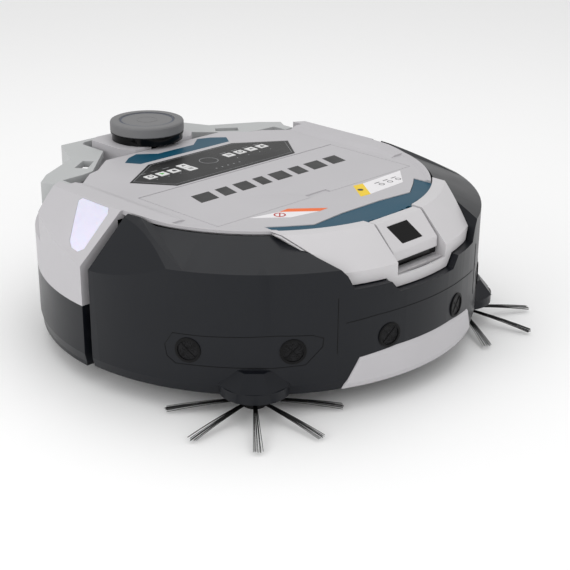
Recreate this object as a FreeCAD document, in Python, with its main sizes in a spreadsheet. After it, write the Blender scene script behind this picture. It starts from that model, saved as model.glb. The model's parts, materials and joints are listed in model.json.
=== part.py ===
"""Robotic floor cleaner: a round, low machine with a sprung bumper, two side brushes, a main brush,
drive wheels on swing arms, a dust box under a hinged lid, two batteries and a scanner turret.

Frame: origin on the floor below the middle of the round body, +Z up, the front faces -Y, and +X is
on the right for someone who looks at the front. Millimetres.
"""

import FreeCAD, Part
import os
import re
import Sketcher

DOC = FreeCAD.newDocument("floor_cleaner")
SHEET = DOC.addObject("Spreadsheet::Sheet", "Sizes")

SIZES = {
    # round body
    "body_radius": (250, "outside radius of the bumper and the rear shells"),
    "shell_wall": (3, "wall of the moulded shells"),
    "rim_height": (24, "lower edge of the shells above the floor"),
    "rim_setback": (2.3, "how far the lower edge draws in"),
    "rim_flare": (10, "height over which it draws in"),
    "deck_height": (174, "top of the deck above the floor"),
    "deck_thick": (5, "thickness of the deck plate"),
    "deck_radius": (193, "front edge of the deck"),
    "deck_rim_width": (7, "width of the deck's raised rim"),
    "deck_rim_slope": (3, "width of the slope up to that rim"),
    "deck_rim_rise": (2, "height of that rim above the deck"),
    "deck_rim_thick": (3, "thickness of that rim"),
    "slot_width": (12.5, "open slot between the bumper's ends and the rear shells"),
    "fit_gap": (0.6, "gap between moulded covers"),
    # bumper
    "bumper_travel": (8, "how far the bumper is pushed back"),
    "travel_gap": (3, "room left behind the pushed bumper"),
    "crease_height": (152.5, "where the bumper's wall turns into its top band"),
    "band_radius": (196.5, "inner edge of the top band"),
    "band_height": (172.5, "height of the top band's inner edge at the front"),
    "band_rise_y": (-30, "where the top band starts to fall towards the front"),
    "band_fall_y": (-50, "where the top band has fallen to its height at the front"),
    "lip_radius": (187, "inner edge of the bumper's lip under the deck"),
    "lip_gap": (0.6, "gap between that lip and the deck"),
    "lip_thick": (2.5, "thickness of that lip"),
    "flange_wall": (2, "thickness of the flange round the bumper's opening"),
    "flange_depth": (14, "depth of that flange"),
    "facet_foot": (130.7, "height of the side facet at the outer wall"),
    "facet_slope": (0.92, "rise of the side facet per millimetre inwards"),
    "spring_radius": (4, "outside radius of the bumper springs"),
    "spring_wire": (1, "wire of the bumper springs"),
    "spring_low": (48, "height of the lower springs"),
    "spring_high": (78, "height of the upper springs"),
    "spring_inset": (14, "springs in from the outside"),
    "sonar_radius": (13.3, "outside radius of a distance sensor's bezel"),
    "sonar_face": (10.6, "radius of a distance sensor's disc"),
    "sonar_proud": (1.2, "how far the bezel stands out"),
    "sonar_depth": (8, "depth of a distance sensor"),
    "sonar_inner_angle": (12.5, "inner pair of sensors, angle from the front"),
    "sonar_middle_angle": (36.3, "middle pair of sensors"),
    "sonar_outer_angle": (60.1, "outer pair of sensors"),
    "sonar_inner_height": (74, "height of the inner pair"),
    "sonar_middle_height": (71.5, "height of the middle pair"),
    "sonar_outer_height": (70, "height of the outer pair"),
    "chin_half_low": (104, "half width of the front chin at its foot"),
    "chin_half_high": (87, "half width of the front chin at its shoulders"),
    "chin_shoulder": (56.6, "height of the chin's shoulders"),
    "chin_top": (62, "height of the chin's middle"),
    "chin_proud": (1.6, "how far the chin stands out"),
    "chin_inset": (1.5, "how deep the chin is let into the bumper"),
    # side brushes
    "brush_inset": (15, "side brush axis in from the outside"),
    "brush_angle": (45, "side brush axis from the front"),
    "hub_radius": (12, "radius of a side brush hub"),
    "hub_bottom": (8, "lowest point of a side brush hub"),
    "shaft_radius": (3, "radius of a side brush shaft"),
    "shaft_gap": (0.06, "running gap of shafts and pins"),
    "shaft_top": (34, "top of a side brush shaft"),
    "tuft_reach": (91.5, "radius of the circle that the tufts sweep"),
    "tuft_root": (2.2, "radius of a tuft at the hub"),
    "tuft_tip": (3.4, "radius of a tuft at its tip"),
    "tuft_root_height": (14, "height of a tuft at the hub"),
    "tuft_tip_height": (4.4, "height of a tuft at its tip"),
    "tuft_turn_left": (2.8, "turn of the left brush's first tuft"),
    "tuft_turn_right": (14.2, "turn of the right brush's first tuft"),
    "pad_radius": (20, "radius of the pad that carries a side brush motor"),
    "motor_height": (16, "height of a side brush motor"),
    "cover_radius": (36.5, "radius of a brush cover's flange"),
    "cover_flange": (10.5, "height of a brush cover's flange"),
    "cover_rise": (16.5, "height of a brush cover's cone"),
    "cover_top_radius": (24, "radius of a brush cover's top"),
    # chassis
    "base_height": (20, "underside of the base plate above the floor"),
    "base_wall": (4, "thickness of the base plate"),
    "post_radius": (5, "radius of the posts that carry the covers"),
    "screw_head": (3.6, "radius of a screw head"),
    "screw_sink": (2, "depth of a screw head"),
    "screw_shank": (1.5, "radius of a screw shank"),
    "screw_length": (14, "length of a screw shank"),
    # main brush
    "main_y": (-75, "main brush axis, front to back"),
    "main_z": (24, "main brush axis above the floor"),
    "main_half": (97, "half length of the main brush"),
    "core_radius": (10, "radius of the main brush core"),
    "bristle_radius": (23.2, "radius that the main brush bristles reach"),
    "bristle_thick": (4, "thickness of a bristle row"),
    "tunnel_radius": (24.6, "radius of the tunnel over the main brush"),
    "tunnel_top": (58, "top of the main brush tunnel"),
    "tunnel_wall": (4, "end walls of the tunnel"),
    "end_gap": (1, "play at the ends of the main brush"),
    "gear_pitch": (12, "pitch radius of the main brush gear"),
    "pinion_pitch": (6, "pitch radius of the motor pinion"),
    "tooth_height": (2.2, "full height of a tooth"),
    "gear_width": (7, "width of the gears"),
    "mesh_angle": (50, "direction from the brush axis to the motor axis"),
    "brush_motor_radius": (13, "radius of the main brush motor"),
    "brush_motor_length": (42, "length of the main brush motor"),
    # drive wheels
    "wheel_x": (148, "middle of a drive wheel"),
    "wheel_radius": (42, "radius of a drive wheel"),
    "wheel_width": (22, "width of a tyre"),
    "tyre_thick": (9, "thickness of a tyre"),
    "hub_width": (18, "width of a wheel hub"),
    "axle_radius": (4, "radius of the wheel axles and arm pins"),
    "arm_thick": (12, "thickness of a swing arm"),
    "arm_gap": (7, "room between an arm and its wheel hub"),
    "arm_reach": (70, "swing arm pivot behind the axle"),
    "arm_rise": (10, "swing arm pivot above the axle"),
    "arm_drop": (12, "how far the wheel drops when the machine is lifted"),
    "arm_end_radius": (14, "radius of a swing arm round its axle"),
    "arm_pivot_radius": (11, "radius of a swing arm round its pivot"),
    "drive_motor_radius": (15, "radius of a drive motor"),
    "drive_motor_length": (22, "length of a drive motor"),
    "well_gap": (4, "room round a wheel in the base plate"),
    "lug_thick": (9, "thickness of the lugs that hold a swing arm"),
    # caster
    "caster_y": (170, "caster swivel axis behind the middle"),
    "caster_trail": (8, "caster axle behind its swivel axis"),
    "caster_radius": (14, "radius of the caster wheel"),
    "caster_width": (14, "width of the caster wheel"),
    "caster_pin": (2, "radius of the caster axle"),
    "caster_stem": (4, "radius of the caster stem"),
    "caster_plate": (3, "thickness of the caster crown and legs"),
    "caster_well": (27, "radius of the caster's well"),
    # dust box, filter and fan
    "lid_half": (150, "half width of the dust lid's opening"),
    "lid_front": (-97, "front edge of the dust lid's opening"),
    "lid_rear": (29, "rear edge of the dust lid's opening"),
    "lid_thick": (3, "thickness of the dust lid"),
    "lid_ledge": (6, "width of the ledge that the lid lies on"),
    "lid_pin": (0.8, "radius of the lid's hinge pins"),
    "box_half": (90, "half width of the dust box"),
    "box_front": (-90, "front of the dust box"),
    "box_rear": (20, "rear of the dust box"),
    "box_wall": (2.5, "wall of the dust box"),
    "box_headroom": (3, "room between the dust box and the deck plate"),
    "filter_half": (60, "half width of the filter"),
    "filter_thick": (12, "thickness of the filter"),
    "filter_low": (84, "lower edge of the filter"),
    "filter_high": (148, "upper edge of the filter"),
    "fan_height": (112, "fan axis above the floor"),
    "fan_radius": (44, "outside radius of the fan housing"),
    "fan_depth": (40, "depth of the fan housing"),
    "fan_inlet": (28, "radius of the fan's inlet"),
    "impeller_radius": (37, "radius of the impeller"),
    "impeller_depth": (20, "depth of the impeller"),
    "fan_shaft": (3, "radius of the fan shaft"),
    # batteries
    "battery_inner": (31, "inner side of a battery"),
    "battery_width": (75, "width of a battery"),
    "battery_front": (105, "front end of a battery"),
    "battery_length": (98, "length of a battery"),
    "battery_tall": (56, "height of a battery"),
    "rail_height": (4, "height of the rails under a battery"),
    "door_half": (112, "half width of the battery opening"),
    "door_low": (27, "lower edge of the battery opening"),
    "door_high": (86, "upper edge of the battery opening"),
    "knuckle_radius": (2.5, "radius of the battery cover's hinge knuckles"),
    "knuckle_length": (14, "length of the battery cover's hinge knuckles"),
    "hinge_pin": (1.2, "radius of the battery cover's hinge pin"),
    "board_height": (94, "height of the main board"),
    "board_thick": (2, "thickness of the main board"),
    "board_half": (116, "half width of the main board"),
    "board_front": (84, "front edge of the main board"),
    "board_rear": (156, "rear edge of the main board"),
    # rear covers
    "split_height": (88, "joint between the lower and the upper rear shell"),
    "shoulder_foot": (131.7, "height of the shoulder facet at the outer wall"),
    "shoulder_width": (54.4, "ridge of the shoulder in from the outside"),
    "ridge_rise": (4, "height of the shoulder ridge above the deck"),
    "ridge_width": (23.6, "width of the shoulder ridge"),
    "ridge_chamfer": (12, "width of the slope from the ridge to the deck"),
    "ridge_front": (-60, "front end of the ridge on the deck"),
    "shoulder_fade": (180, "length over which the shoulder facet flattens"),
    "shoulder_end": (170, "height of the facet where it has flattened"),
    "rear_height": (140, "top of the low rear part"),
    "rear_edge_drop": (12, "how far the rear part's edge slopes down"),
    "rear_edge_width": (25, "width of that slope"),
    "lamp_front": (9.5, "front end of a side lamp at its foot"),
    "lamp_foot_width": (20, "width of a side lamp at its foot"),
    "lamp_top_front": (13, "front end of a side lamp at its top"),
    "lamp_top_width": (54.5, "width of a side lamp at its top"),
    "lamp_corner": (5, "bevel of a side lamp's corners"),
    "lamp_foot_inset": (8.2, "foot of a side lamp in from the outside"),
    "lamp_top_inset": (53.2, "top of a side lamp in from the outside"),
    # handle
    "pivot_x": (172.5, "middle of a handle pivot"),
    "pivot_y": (121.5, "handle pivot behind the middle"),
    "pivot_z": (160, "handle pivot above the floor"),
    "pivot_radius": (9, "radius of the handle's ends"),
    "leg_width": (14, "width of the handle's ends"),
    "notch_gap": (2.5, "room beside the handle's ends"),
    "handle_pin": (3, "radius of the handle's pins"),
    "handle_top": (171.5, "top of the handle"),
    "handle_thick": (8, "thickness of the handle's plate"),
    "handle_rim": (6, "width of the handle's rim"),
    "handle_lift": (1.5, "room under the handle's rim"),
    "bar_y": (250, "front face of the handle's grip bar"),
    "bar_thick": (8, "thickness of the grip bar"),
    # visor and camera
    "visor_inset": (8.6, "visor's front face in from the outside"),
    "visor_crease": (145, "where the visor's front face turns into its slope"),
    "visor_inner": (194.5, "inner edge of the visor"),
    "visor_brim": (208.3, "radius where the visor's flat brim turns down"),
    "visor_top": (177, "height of the visor's brim"),
    "visor_half_high": (127.5, "half width of the visor at its brim"),
    "visor_half_mid": (100, "half width of the visor at its crease"),
    "visor_half_low": (93, "half width of the visor at its lower edge"),
    "visor_low": (131.5, "lower edge of the visor"),
    "ledge_half_high": (52, "half width of the ledge where it leaves the visor"),
    "ledge_half_low": (42, "half width of the ledge at its foot"),
    "ledge_low": (119.5, "lower edge of the ledge"),
    "visor_gap": (1, "gap between the visor and the bumper"),
    "hood_half": (35.5, "half width of the camera hood"),
    "hood_gap": (2.5, "groove beside the camera hood"),
    "hood_back": (-195, "rear end of the hood"),
    "hood_brow": (-205.5, "where the hood's top turns down"),
    "hood_brow_height": (176.5, "height of the hood's top"),
    "hood_lip": (-229.2, "front face of the hood"),
    "hood_lip_height": (152, "upper edge of the hood's front face"),
    "hood_lip_low": (140.8, "lower edge of the hood's front face"),
    "window_half": (15.7, "half width of the camera window"),
    "window_skew": (8, "how far the window's upper edge is shifted to the left"),
    "window_back": (-209.5, "upper edge of the camera window"),
    "window_front": (-224.6, "lower edge of the camera window"),
    "strip_low": (134.9, "lower edge of the dark strip under the hood"),
    "visor_post_x": (70, "posts of the visor from the middle"),
    "visor_post_y": (-188, "posts of the visor, front to back"),
    "visor_post_top": (148, "where a post meets its boss"),
    # teal trims and control panel
    "trim_sink": (0.7, "how far the front trim lies below the deck"),
    "trim_foot": (3, "thickness of the front trim's foot under the deck"),
    "trim_foot_half": (108, "half width of that foot"),
    "trim_half": (118.5, "half width of the front trim"),
    "trim_inner": (146, "inner radius of the front trim"),
    "deck_nose": (-153.5, "front edge of the deck in the middle"),
    "deck_nose_flat": (30, "half width of that straight edge"),
    "deck_nose_side": (-158, "front edge of the deck at the ends of the nose"),
    "deck_nose_half": (75, "half width of the deck's nose"),
    "nose_radius": (173.5, "radius of the deck's edge beside the nose"),
    "vent_width": (7.5, "width of a vent"),
    "vent_depth": (4, "depth of a vent, in to out"),
    "vent_pitch": (3.6, "angle from one vent to the next"),
    "inlay_sink": (2, "how deep trims and panels are let into the deck"),
    "panel_proud": (0.4, "how far the control panel stands out"),
    "key_size": (12.2, "side of a key"),
    "key_proud": (0.6, "how far a key stands out of the panel"),
    "key_travel": (0.4, "travel of a key"),
    "key_gap": (0.3, "gap round a key"),
    # scanner turret
    "scan_y": (195.5, "scanner axis behind the middle"),
    "tower_half": (57, "half width of the scanner tower"),
    "tower_front": (165, "front face of the tower"),
    "tower_rear": (240, "rear face of the tower"),
    "tower_corner": (13, "bevel of the tower's corners"),
    "tower_height": (178, "top of the tower"),
    "tower_hole": (36, "radius of the hole in the tower's top"),
    "glass_radius": (43.2, "outside radius of the scanner window"),
    "glass_wall": (1.7, "wall of the scanner window"),
    "glass_top": (186, "top of the scanner window"),
    "guide_reach": (39.3, "guide posts of the cap from the scanner axis"),
    "guide_radius": (2, "radius of a guide post"),
    "guide_pin": (1.1, "radius of the cap's guide pins"),
    "guide_pin_length": (6.5, "length of the cap's guide pins"),
    "cap_radius": (44.8, "radius of the scanner cap"),
    "cap_low": (188, "lower edge of the scanner cap"),
    "cap_high": (201, "top of the scanner cap"),
    "cap_round": (2.5, "rounding of the cap's upper edge"),
    "cap_dish": (34, "radius of the disc let into the cap"),
    "cap_dish_depth": (0.8, "depth of that disc"),
    "rotor_radius": (33, "radius of the scanner rotor"),
    "rotor_low": (179, "underside of the scanner rotor"),
    "rotor_high": (185.4, "top of the scanner rotor"),
    "rotor_hub": (6, "radius of the rotor's hub"),
    "rotor_shaft": (1.5, "radius of the rotor's shaft"),
    "scan_motor_radius": (12, "radius of the scanner motor"),
    "scan_motor_top": (170, "top of the scanner motor"),
}

NODES = []
COUNT = {}


def fill_sheet():
    """Write every size into the sheet: name, value and meaning."""
    for row, (alias, (number, meaning)) in enumerate(SIZES.items(), start=1):
        SHEET.set("A%d" % row, alias)
        SHEET.set("B%d" % row, str(number))
        SHEET.set("C%d" % row, meaning)
        SHEET.setAlias("B%d" % row, alias)
    DOC.recompute()


# ---------------------------------------------------------------- formulas

def full(formula):
    """Point every size's name in a formula at its cell."""
    return re.sub(r"[a-z]\w*", lambda m: "Sizes." + m[0] if m[0] in SIZES else m[0], str(formula))


def number(formula):
    """What a formula comes to now."""
    return float(SHEET.evalExpression(str(formula)))


def bind(item, **formulas):
    """Tie properties of an object to formulas."""
    for name, formula in formulas.items():
        item.setExpression(name, full(formula))
    return item


def place(item, x=0, y=0, z=0, turn="rotationz(0)"):
    """Tie an object's placement to formulas; turn is a rotation formula."""
    item.setExpression("Placement", full("placement(vector(%s; %s; %s); %s)" % (x, y, z, turn)))
    return item


def fresh(kind, name):
    """Add an object with a numbered name."""
    COUNT[name] = COUNT.get(name, 0) + 1
    return DOC.addObject(kind, "%s_%d" % (name, COUNT[name]))


def minus(formula):
    return "-(%s)" % formula


# ---------------------------------------------------------------- solids

def box(x_low, x_high, y_low, y_high, z_low, z_high):
    item = fresh("Part::Box", "Box")
    bind(item, Length="(%s) - (%s)" % (x_high, x_low), Width="(%s) - (%s)" % (y_high, y_low))
    bind(item, Height="(%s) - (%s)" % (z_high, z_low))
    return place(item, x_low, y_low, z_low)


def middle_box(half, y_low, y_high, z_low, z_high):
    """A box as far to the left of the middle as to the right."""
    return box(minus(half), half, y_low, y_high, z_low, z_high)


def cylinder(radius, z_low, z_high, x=0, y=0, angle=360, start=0):
    """An upright cylinder, or a slice of one that starts at an angle from +X."""
    item = fresh("Part::Cylinder", "Cylinder")
    bind(item, Radius=radius, Height="(%s) - (%s)" % (z_high, z_low), Angle=angle)
    return place(item, x, y, z_low, "rotationz(%s)" % start)


def rod(radius, x_low, x_high, y, z):
    """A cylinder along X."""
    item = fresh("Part::Cylinder", "Rod")
    bind(item, Radius=radius, Height="(%s) - (%s)" % (x_high, x_low))
    return place(item, x_low, y, z, "rotationy(90)")


def bar(radius, y_low, y_high, x, z):
    """A cylinder along Y."""
    item = fresh("Part::Cylinder", "Bar")
    bind(item, Radius=radius, Height="(%s) - (%s)" % (y_high, y_low))
    return place(item, x, y_low, z, "rotationx(-90)")


def cone(low_radius, high_radius, z_low, z_high, x=0, y=0):
    item = fresh("Part::Cone", "Cone")
    bind(item, Radius1=low_radius, Radius2=high_radius, Height="(%s) - (%s)" % (z_high, z_low))
    return place(item, x, y, z_low)


def outline(sketch, points):
    """Draw a closed outline whose corners are tied to formulas."""
    spots = [FreeCAD.Vector(number(u), number(v), 0) for u, v in points]
    count = len(points)
    for i in range(count):
        sketch.addGeometry(Part.LineSegment(spots[i], spots[(i + 1) % count]), False)
    for i in range(count):
        sketch.addConstraint(Sketcher.Constraint("Coincident", i, 2, (i + 1) % count, 1))
    for i, (u, v) in enumerate(points):
        for kind, formula, now in (("DistanceX", u, spots[i].x), ("DistanceY", v, spots[i].y)):
            tie = sketch.addConstraint(Sketcher.Constraint(kind, -1, 1, i, 1, now))
            sketch.setExpression("Constraints[%d]" % tie, full(formula))


def body_sketch(role, points):
    """A new body with one closed sketch on one of its origin planes."""
    body = fresh("PartDesign::Body", "Body")
    plane = [item for item in body.Origin.OriginFeatures if item.Role == role][0]
    sketch = body.newObject("Sketcher::SketchObject", "Sketch")
    sketch.AttachmentSupport = (plane, [""])
    sketch.MapMode = "FlatFace"
    outline(sketch, points)
    return body, sketch


def padded(role, points, low, high, shift):
    body, sketch = body_sketch(role, points)
    sketch.setExpression(".AttachmentOffset.Base.z", full(shift))
    pad = body.newObject("PartDesign::Pad", "Pad")
    pad.Profile = sketch
    pad.setExpression("Length", full("(%s) - (%s)" % (high, low)))
    return body


def prism(points, z_low, z_high):
    """An upright prism over an outline of (x, y) corners."""
    return padded("XY_Plane", points, z_low, z_high, z_low)


def front_prism(points, y_low, y_high):
    """A prism along Y over an outline of (x, z) corners."""
    return padded("XZ_Plane", points, y_low, y_high, minus(y_high))


def side_prism(points, x_low, x_high):
    """A prism along X over an outline of (y, z) corners."""
    return padded("YZ_Plane", points, x_low, x_high, x_low)


def turned(points, angle=360, start=0):
    """Turn an outline of (radius, z) corners about Z, from a start angle measured from +X."""
    body, sketch = body_sketch("XZ_Plane", points)
    spin = body.newObject("PartDesign::Revolution", "Revolution")
    spin.Profile = sketch
    spin.ReferenceAxis = (sketch, ["V_Axis"])
    spin.setExpression("Angle", full(angle))
    place(body, turn="rotationz(%s)" % start)
    return body


def mirrored(points):
    """Close a right-hand outline with its mirror image about the middle."""
    return points + [(minus(u), v) for u, v in reversed(points)]


def fuse(*items):
    joined = fresh("Part::MultiFuse", "Fuse")
    joined.Shapes = list(items)
    return joined


def overlap(*items):
    shared = fresh("Part::MultiCommon", "Common")
    shared.Shapes = list(items)
    return shared


def cut(base, *tools):
    """Take one or more tools out of a base."""
    result = fresh("Part::Cut", "Cut")
    result.Base = base
    result.Tool = tools[0] if len(tools) == 1 else fuse(*tools)
    return result


def group(*items):
    """Separate solids that are one node."""
    together = fresh("Part::Compound", "Group")
    together.Links = list(items)
    return together


def node(name, item):
    """Name a sub-part."""
    item.Label = name
    NODES.append(item)
    return item


def sides():
    return (("left", -1), ("right", 1))


def span(sign, near, far):
    """Low and high X of a piece that lies between two distances from the middle, on one side."""
    if sign > 0:
        return near, far
    return minus(far), minus(near)


# ---------------------------------------------------------------- places shared by several pieces

INNER_RADIUS = "(body_radius - shell_wall)"
CHASSIS_RADIUS = "(body_radius - shell_wall - bumper_travel - travel_gap)"
BRUSH_REACH = "(body_radius - brush_inset)"
BRUSH_X = "(%s * sin(brush_angle * 1deg))" % BRUSH_REACH
BRUSH_Y = "(-%s * cos(brush_angle * 1deg))" % BRUSH_REACH
BASE_TOP = "(base_height + base_wall)"
DECK_LOW = "(deck_height - deck_thick)"
AXLE_Z = "wheel_radius"
PIVOT_Z = "(wheel_radius + arm_rise)"
ARM_OUT = "(wheel_x - hub_width / 2 - arm_gap + 2)"
ARM_IN = "(%s - arm_thick)" % ARM_OUT
GEAR_DISTANCE = "(gear_pitch + pinion_pitch)"
PINION_Y = "(main_y - %s * cos(mesh_angle * 1deg))" % GEAR_DISTANCE
PINION_Z = "(main_z + %s * sin(mesh_angle * 1deg))" % GEAR_DISTANCE
GEAR_FAR = "(main_half + end_gap + tunnel_wall + 2 + gear_width)"
RIDGE_X = "(body_radius - shoulder_width)"
RIDGE_TOP = "(deck_height + ridge_rise)"
TRIM_TOP = "(deck_height - trim_sink)"
VISOR_FACE = "(body_radius - visor_inset)"
SONARS = (("sonar_inner_angle", "sonar_inner_height"), ("sonar_middle_angle", "sonar_middle_height"),
          ("sonar_outer_angle", "sonar_outer_height"))
POSTS = (("122", "-112"), ("175", "22"), ("150", "98"))
LIP_TOP = "(deck_height - deck_thick - lip_gap)"
KEYS = (("left_a", "-94", "75.5"), ("left_b", "-77", "75.5"), ("left_c", "-60", "75.5"),
        ("left_d", "-40.5", "82.2"), ("left_e", "-40.5", "68.8"),
        ("right_a", "28", "79"), ("right_b", "46", "79"), ("right_c", "64", "79"),
        ("right_d", "82", "79"))


def brush_places():
    for name, sign in sides():
        yield name, ("%d * %s" % (sign, BRUSH_X)), BRUSH_Y


# ---------------------------------------------------------------- chassis

def post_places():
    """Posts under the deck and under the visor, with the height that each reaches."""
    for x, y in POSTS:
        yield x, y, DECK_LOW
        yield minus(x), y, DECK_LOW
    yield "visor_post_x", "visor_post_y", "visor_post_top"
    yield "-visor_post_x", "visor_post_y", "visor_post_top"


def base_openings():
    """Everything that passes through the base plate."""
    low = "base_height - 1"
    high = BASE_TOP + " + 1"
    tools = [middle_box("main_half + end_gap", "main_y - tunnel_radius", "main_y + tunnel_radius",
                        low, high)]
    tools.append(box(minus(GEAR_FAR) + " - 2", "-main_half", "main_y - gear_pitch - 4",
                     "main_y + gear_pitch + 4", low, high))
    for name, sign in sides():
        near, far = span(sign, "wheel_x - wheel_width / 2 - well_gap",
                         "wheel_x + wheel_width / 2 + well_gap")
        tools.append(box(near, far, "-wheel_radius - well_gap", "wheel_radius + well_gap", low, high))
        near, far = span(sign, "%s - drive_motor_length - well_gap" % ARM_IN, "wheel_x")
        tools.append(box(near, far, "-drive_motor_radius - well_gap", "arm_reach * 0.58", low, high))
    for name, x, y in brush_places():
        tools.append(cylinder("shaft_radius + shaft_gap", low, high, x, y))
    tools.append(cylinder("caster_well", low, high, 0, "caster_y"))
    for x, y, top in post_places():
        tools.append(cylinder("screw_head", low, "base_height + screw_sink", x, y))
        tools.append(cylinder("screw_shank", low, "base_height + screw_sink + screw_length", x, y))
    tools.extend(cliff_boxes())
    return tools


def cliff_boxes():
    """Four downward sensors let into the base plate near its rim."""
    blocks = []
    for x, y in (("92", "-202"), ("206", "-70")):
        for sign in ("", "-"):
            blocks.append(box("%s%s - 9" % (sign, x), "%s%s + 9" % (sign, x), "%s - 5" % y, "%s + 5" % y,
                              "base_height", BASE_TOP + " + 5"))
    return blocks


def brush_tunnel():
    """The tunnel over the main brush, with end walls that carry its shafts."""
    outer = middle_box("main_half + end_gap + tunnel_wall", "main_y - tunnel_radius - 3",
                       "main_y + tunnel_radius + 3", BASE_TOP, "tunnel_top")
    bore = rod("tunnel_radius", "-main_half - end_gap", "main_half + end_gap", "main_y", "main_z")
    floor = middle_box("main_half + end_gap + tunnel_wall + 1", "main_y - tunnel_radius - 4",
                       "main_y + tunnel_radius + 4", "base_height - 4", BASE_TOP)
    mouth = middle_box("box_half - 20", "main_y + 6", "main_y + 18", "main_z", "tunnel_top + 1")
    cheeks = [box(*span(sign, "main_half + end_gap", "main_half + end_gap + tunnel_wall"),
                  "main_y - 8", "main_y + 8", "base_height", "tunnel_top") for name, sign in sides()]
    return fuse(cut(outer, bore, floor, mouth), *cheeks)


def wheel_lugs():
    """Pairs of lugs that hold the swing arms' pins."""
    lugs = []
    for name, sign in sides():
        for near in (ARM_OUT + " + 0.5", ARM_IN + " - 0.5 - lug_thick"):
            x_low, x_high = span(sign, near, near + " + lug_thick")
            block = box(x_low, x_high, "arm_reach - 11", "arm_reach + 11", BASE_TOP,
                        PIVOT_Z + " + 11")
            lugs.append(cut(block, rod("axle_radius + shaft_gap", x_low + " - 1", x_high + " + 1",
                                       "arm_reach", PIVOT_Z)))
    return lugs


def caster_cup():
    """The cup that the caster swivels in."""
    roof = "2 * caster_radius + caster_plate + 2"
    cup = cylinder("caster_well + 3", BASE_TOP, roof + " + 12", 0, "caster_y")
    room = cylinder("caster_well", BASE_TOP + " - 1", roof, 0, "caster_y")
    stem = cylinder("caster_stem + shaft_gap", roof + " - 1", roof + " + 13", 0, "caster_y")
    return cut(cup, room, stem)


def battery_rails():
    rails = []
    for name, sign in sides():
        for inset in ("8", "battery_width - 12"):
            x_low, x_high = span(sign, "battery_inner + %s" % inset, "battery_inner + %s + 4" % inset)
            rails.append(box(x_low, x_high, "battery_front", "battery_front + battery_length", BASE_TOP,
                             BASE_TOP + " + rail_height"))
    return rails


def base_chassis():
    front = cylinder(CHASSIS_RADIUS, "base_height", BASE_TOP)
    rear = cylinder("body_radius - rim_setback", "base_height", BASE_TOP, angle=180)
    pads = [cylinder("pad_radius", "base_height", BASE_TOP, x, y) for name, x, y in brush_places()]
    posts = []
    for x, y, top in post_places():
        posts.append(cut(cylinder("post_radius", BASE_TOP, top, x, y),
                         cylinder("screw_shank", BASE_TOP + " - 1",
                                  "base_height + screw_sink + screw_length", x, y)))
    stands = []
    for sign in ("", "-"):
        for y in ("board_front + 6", "board_rear - 6"):
            stands.append(cylinder("4", BASE_TOP, "board_height", "%s(board_half - 4)" % sign, y))
    plate = cut(fuse(front, rear, *pads), *base_openings())
    parts = [plate, brush_tunnel(), caster_cup()] + wheel_lugs() + battery_rails() + posts + stands
    brush_bore = rod("shaft_radius + shaft_gap", "-main_half - 20", "main_half + 20", "main_y", "main_z")
    node("base_chassis", cut(fuse(*parts), brush_bore))
    node("cliff_sensors", group(*cliff_boxes()))


def chassis_screws():
    screws = []
    for x, y, top in post_places():
        head = cylinder("screw_head", "base_height", "base_height + screw_sink", x, y)
        slot = box("%s - 2.6" % x, "%s + 2.6" % x, "%s - 0.5" % y, "%s + 0.5" % y, "base_height - 1",
                   "base_height + 1")
        cross = box("%s - 0.5" % x, "%s + 0.5" % x, "%s - 2.6" % y, "%s + 2.6" % y, "base_height - 1",
                    "base_height + 1")
        shank = cylinder("screw_shank", "base_height + screw_sink",
                         "base_height + screw_sink + screw_length", x, y)
        screws.append(cut(fuse(head, shank), slot, cross))
    node("chassis_screws", group(*screws))


def side_brushes():
    motors = []
    for name, x, y in brush_places():
        low = BASE_TOP
        can = cylinder("pad_radius - 3", low, low + " + motor_height", x, y)
        bore = cylinder("shaft_radius + shaft_gap", low + " - 1", "shaft_top + 1", x, y)
        motors.append(cut(can, bore))
        hub = fuse(cylinder("hub_radius", "hub_bottom", "base_height - 0.6", x, y),
                   cylinder("shaft_radius", "base_height - 1", "shaft_top", x, y))
        screw = cylinder("4", "hub_bottom - 1", "hub_bottom + 2", x, y)
        node("side_brush_%s_hub" % name, cut(hub, screw))
        node("side_brush_%s_tufts" % name, group(*brush_tufts(name, x, y)))
    node("side_brush_motors", group(*motors))


def brush_tufts(name, x, y):
    """Eight slim cones that fan out of the hub and slope down to the floor."""
    slope = "atan((tuft_root_height - tuft_tip_height) / (tuft_reach - hub_radius)) / 1deg"
    tufts = []
    for i in range(8):
        turn = "(tuft_turn_%s + %d)" % (name, 45 * i)
        item = fresh("Part::Cone", "Tuft")
        bind(item, Radius1="tuft_root", Radius2="tuft_tip", Height="tuft_reach - hub_radius + 4")
        reach = "(hub_radius - 4)"
        place(item, "%s + %s * cos(%s * 1deg)" % (x, reach, turn),
              "%s + %s * sin(%s * 1deg)" % (y, reach, turn), "tuft_root_height",
              "rotationz(%s) * rotationy(90 + %s)" % (turn, slope))
        tufts.append(item)
    return tufts


# ---------------------------------------------------------------- bumper

def bumper_profile(inset, drop, top):
    """Half section of the bumper's outside, moved in by an inset; top is the band's upper edge."""
    wall = "body_radius - %s" % inset
    band = "%s - %s * 1.1" % (top, inset)
    return [("0", "rim_height - %s" % drop), (wall + " - rim_setback", "rim_height - %s" % drop),
            (wall, "rim_height + rim_flare"), (wall, "crease_height - %s * 0.7" % inset),
            ("band_radius", band), ("0", band)]


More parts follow.
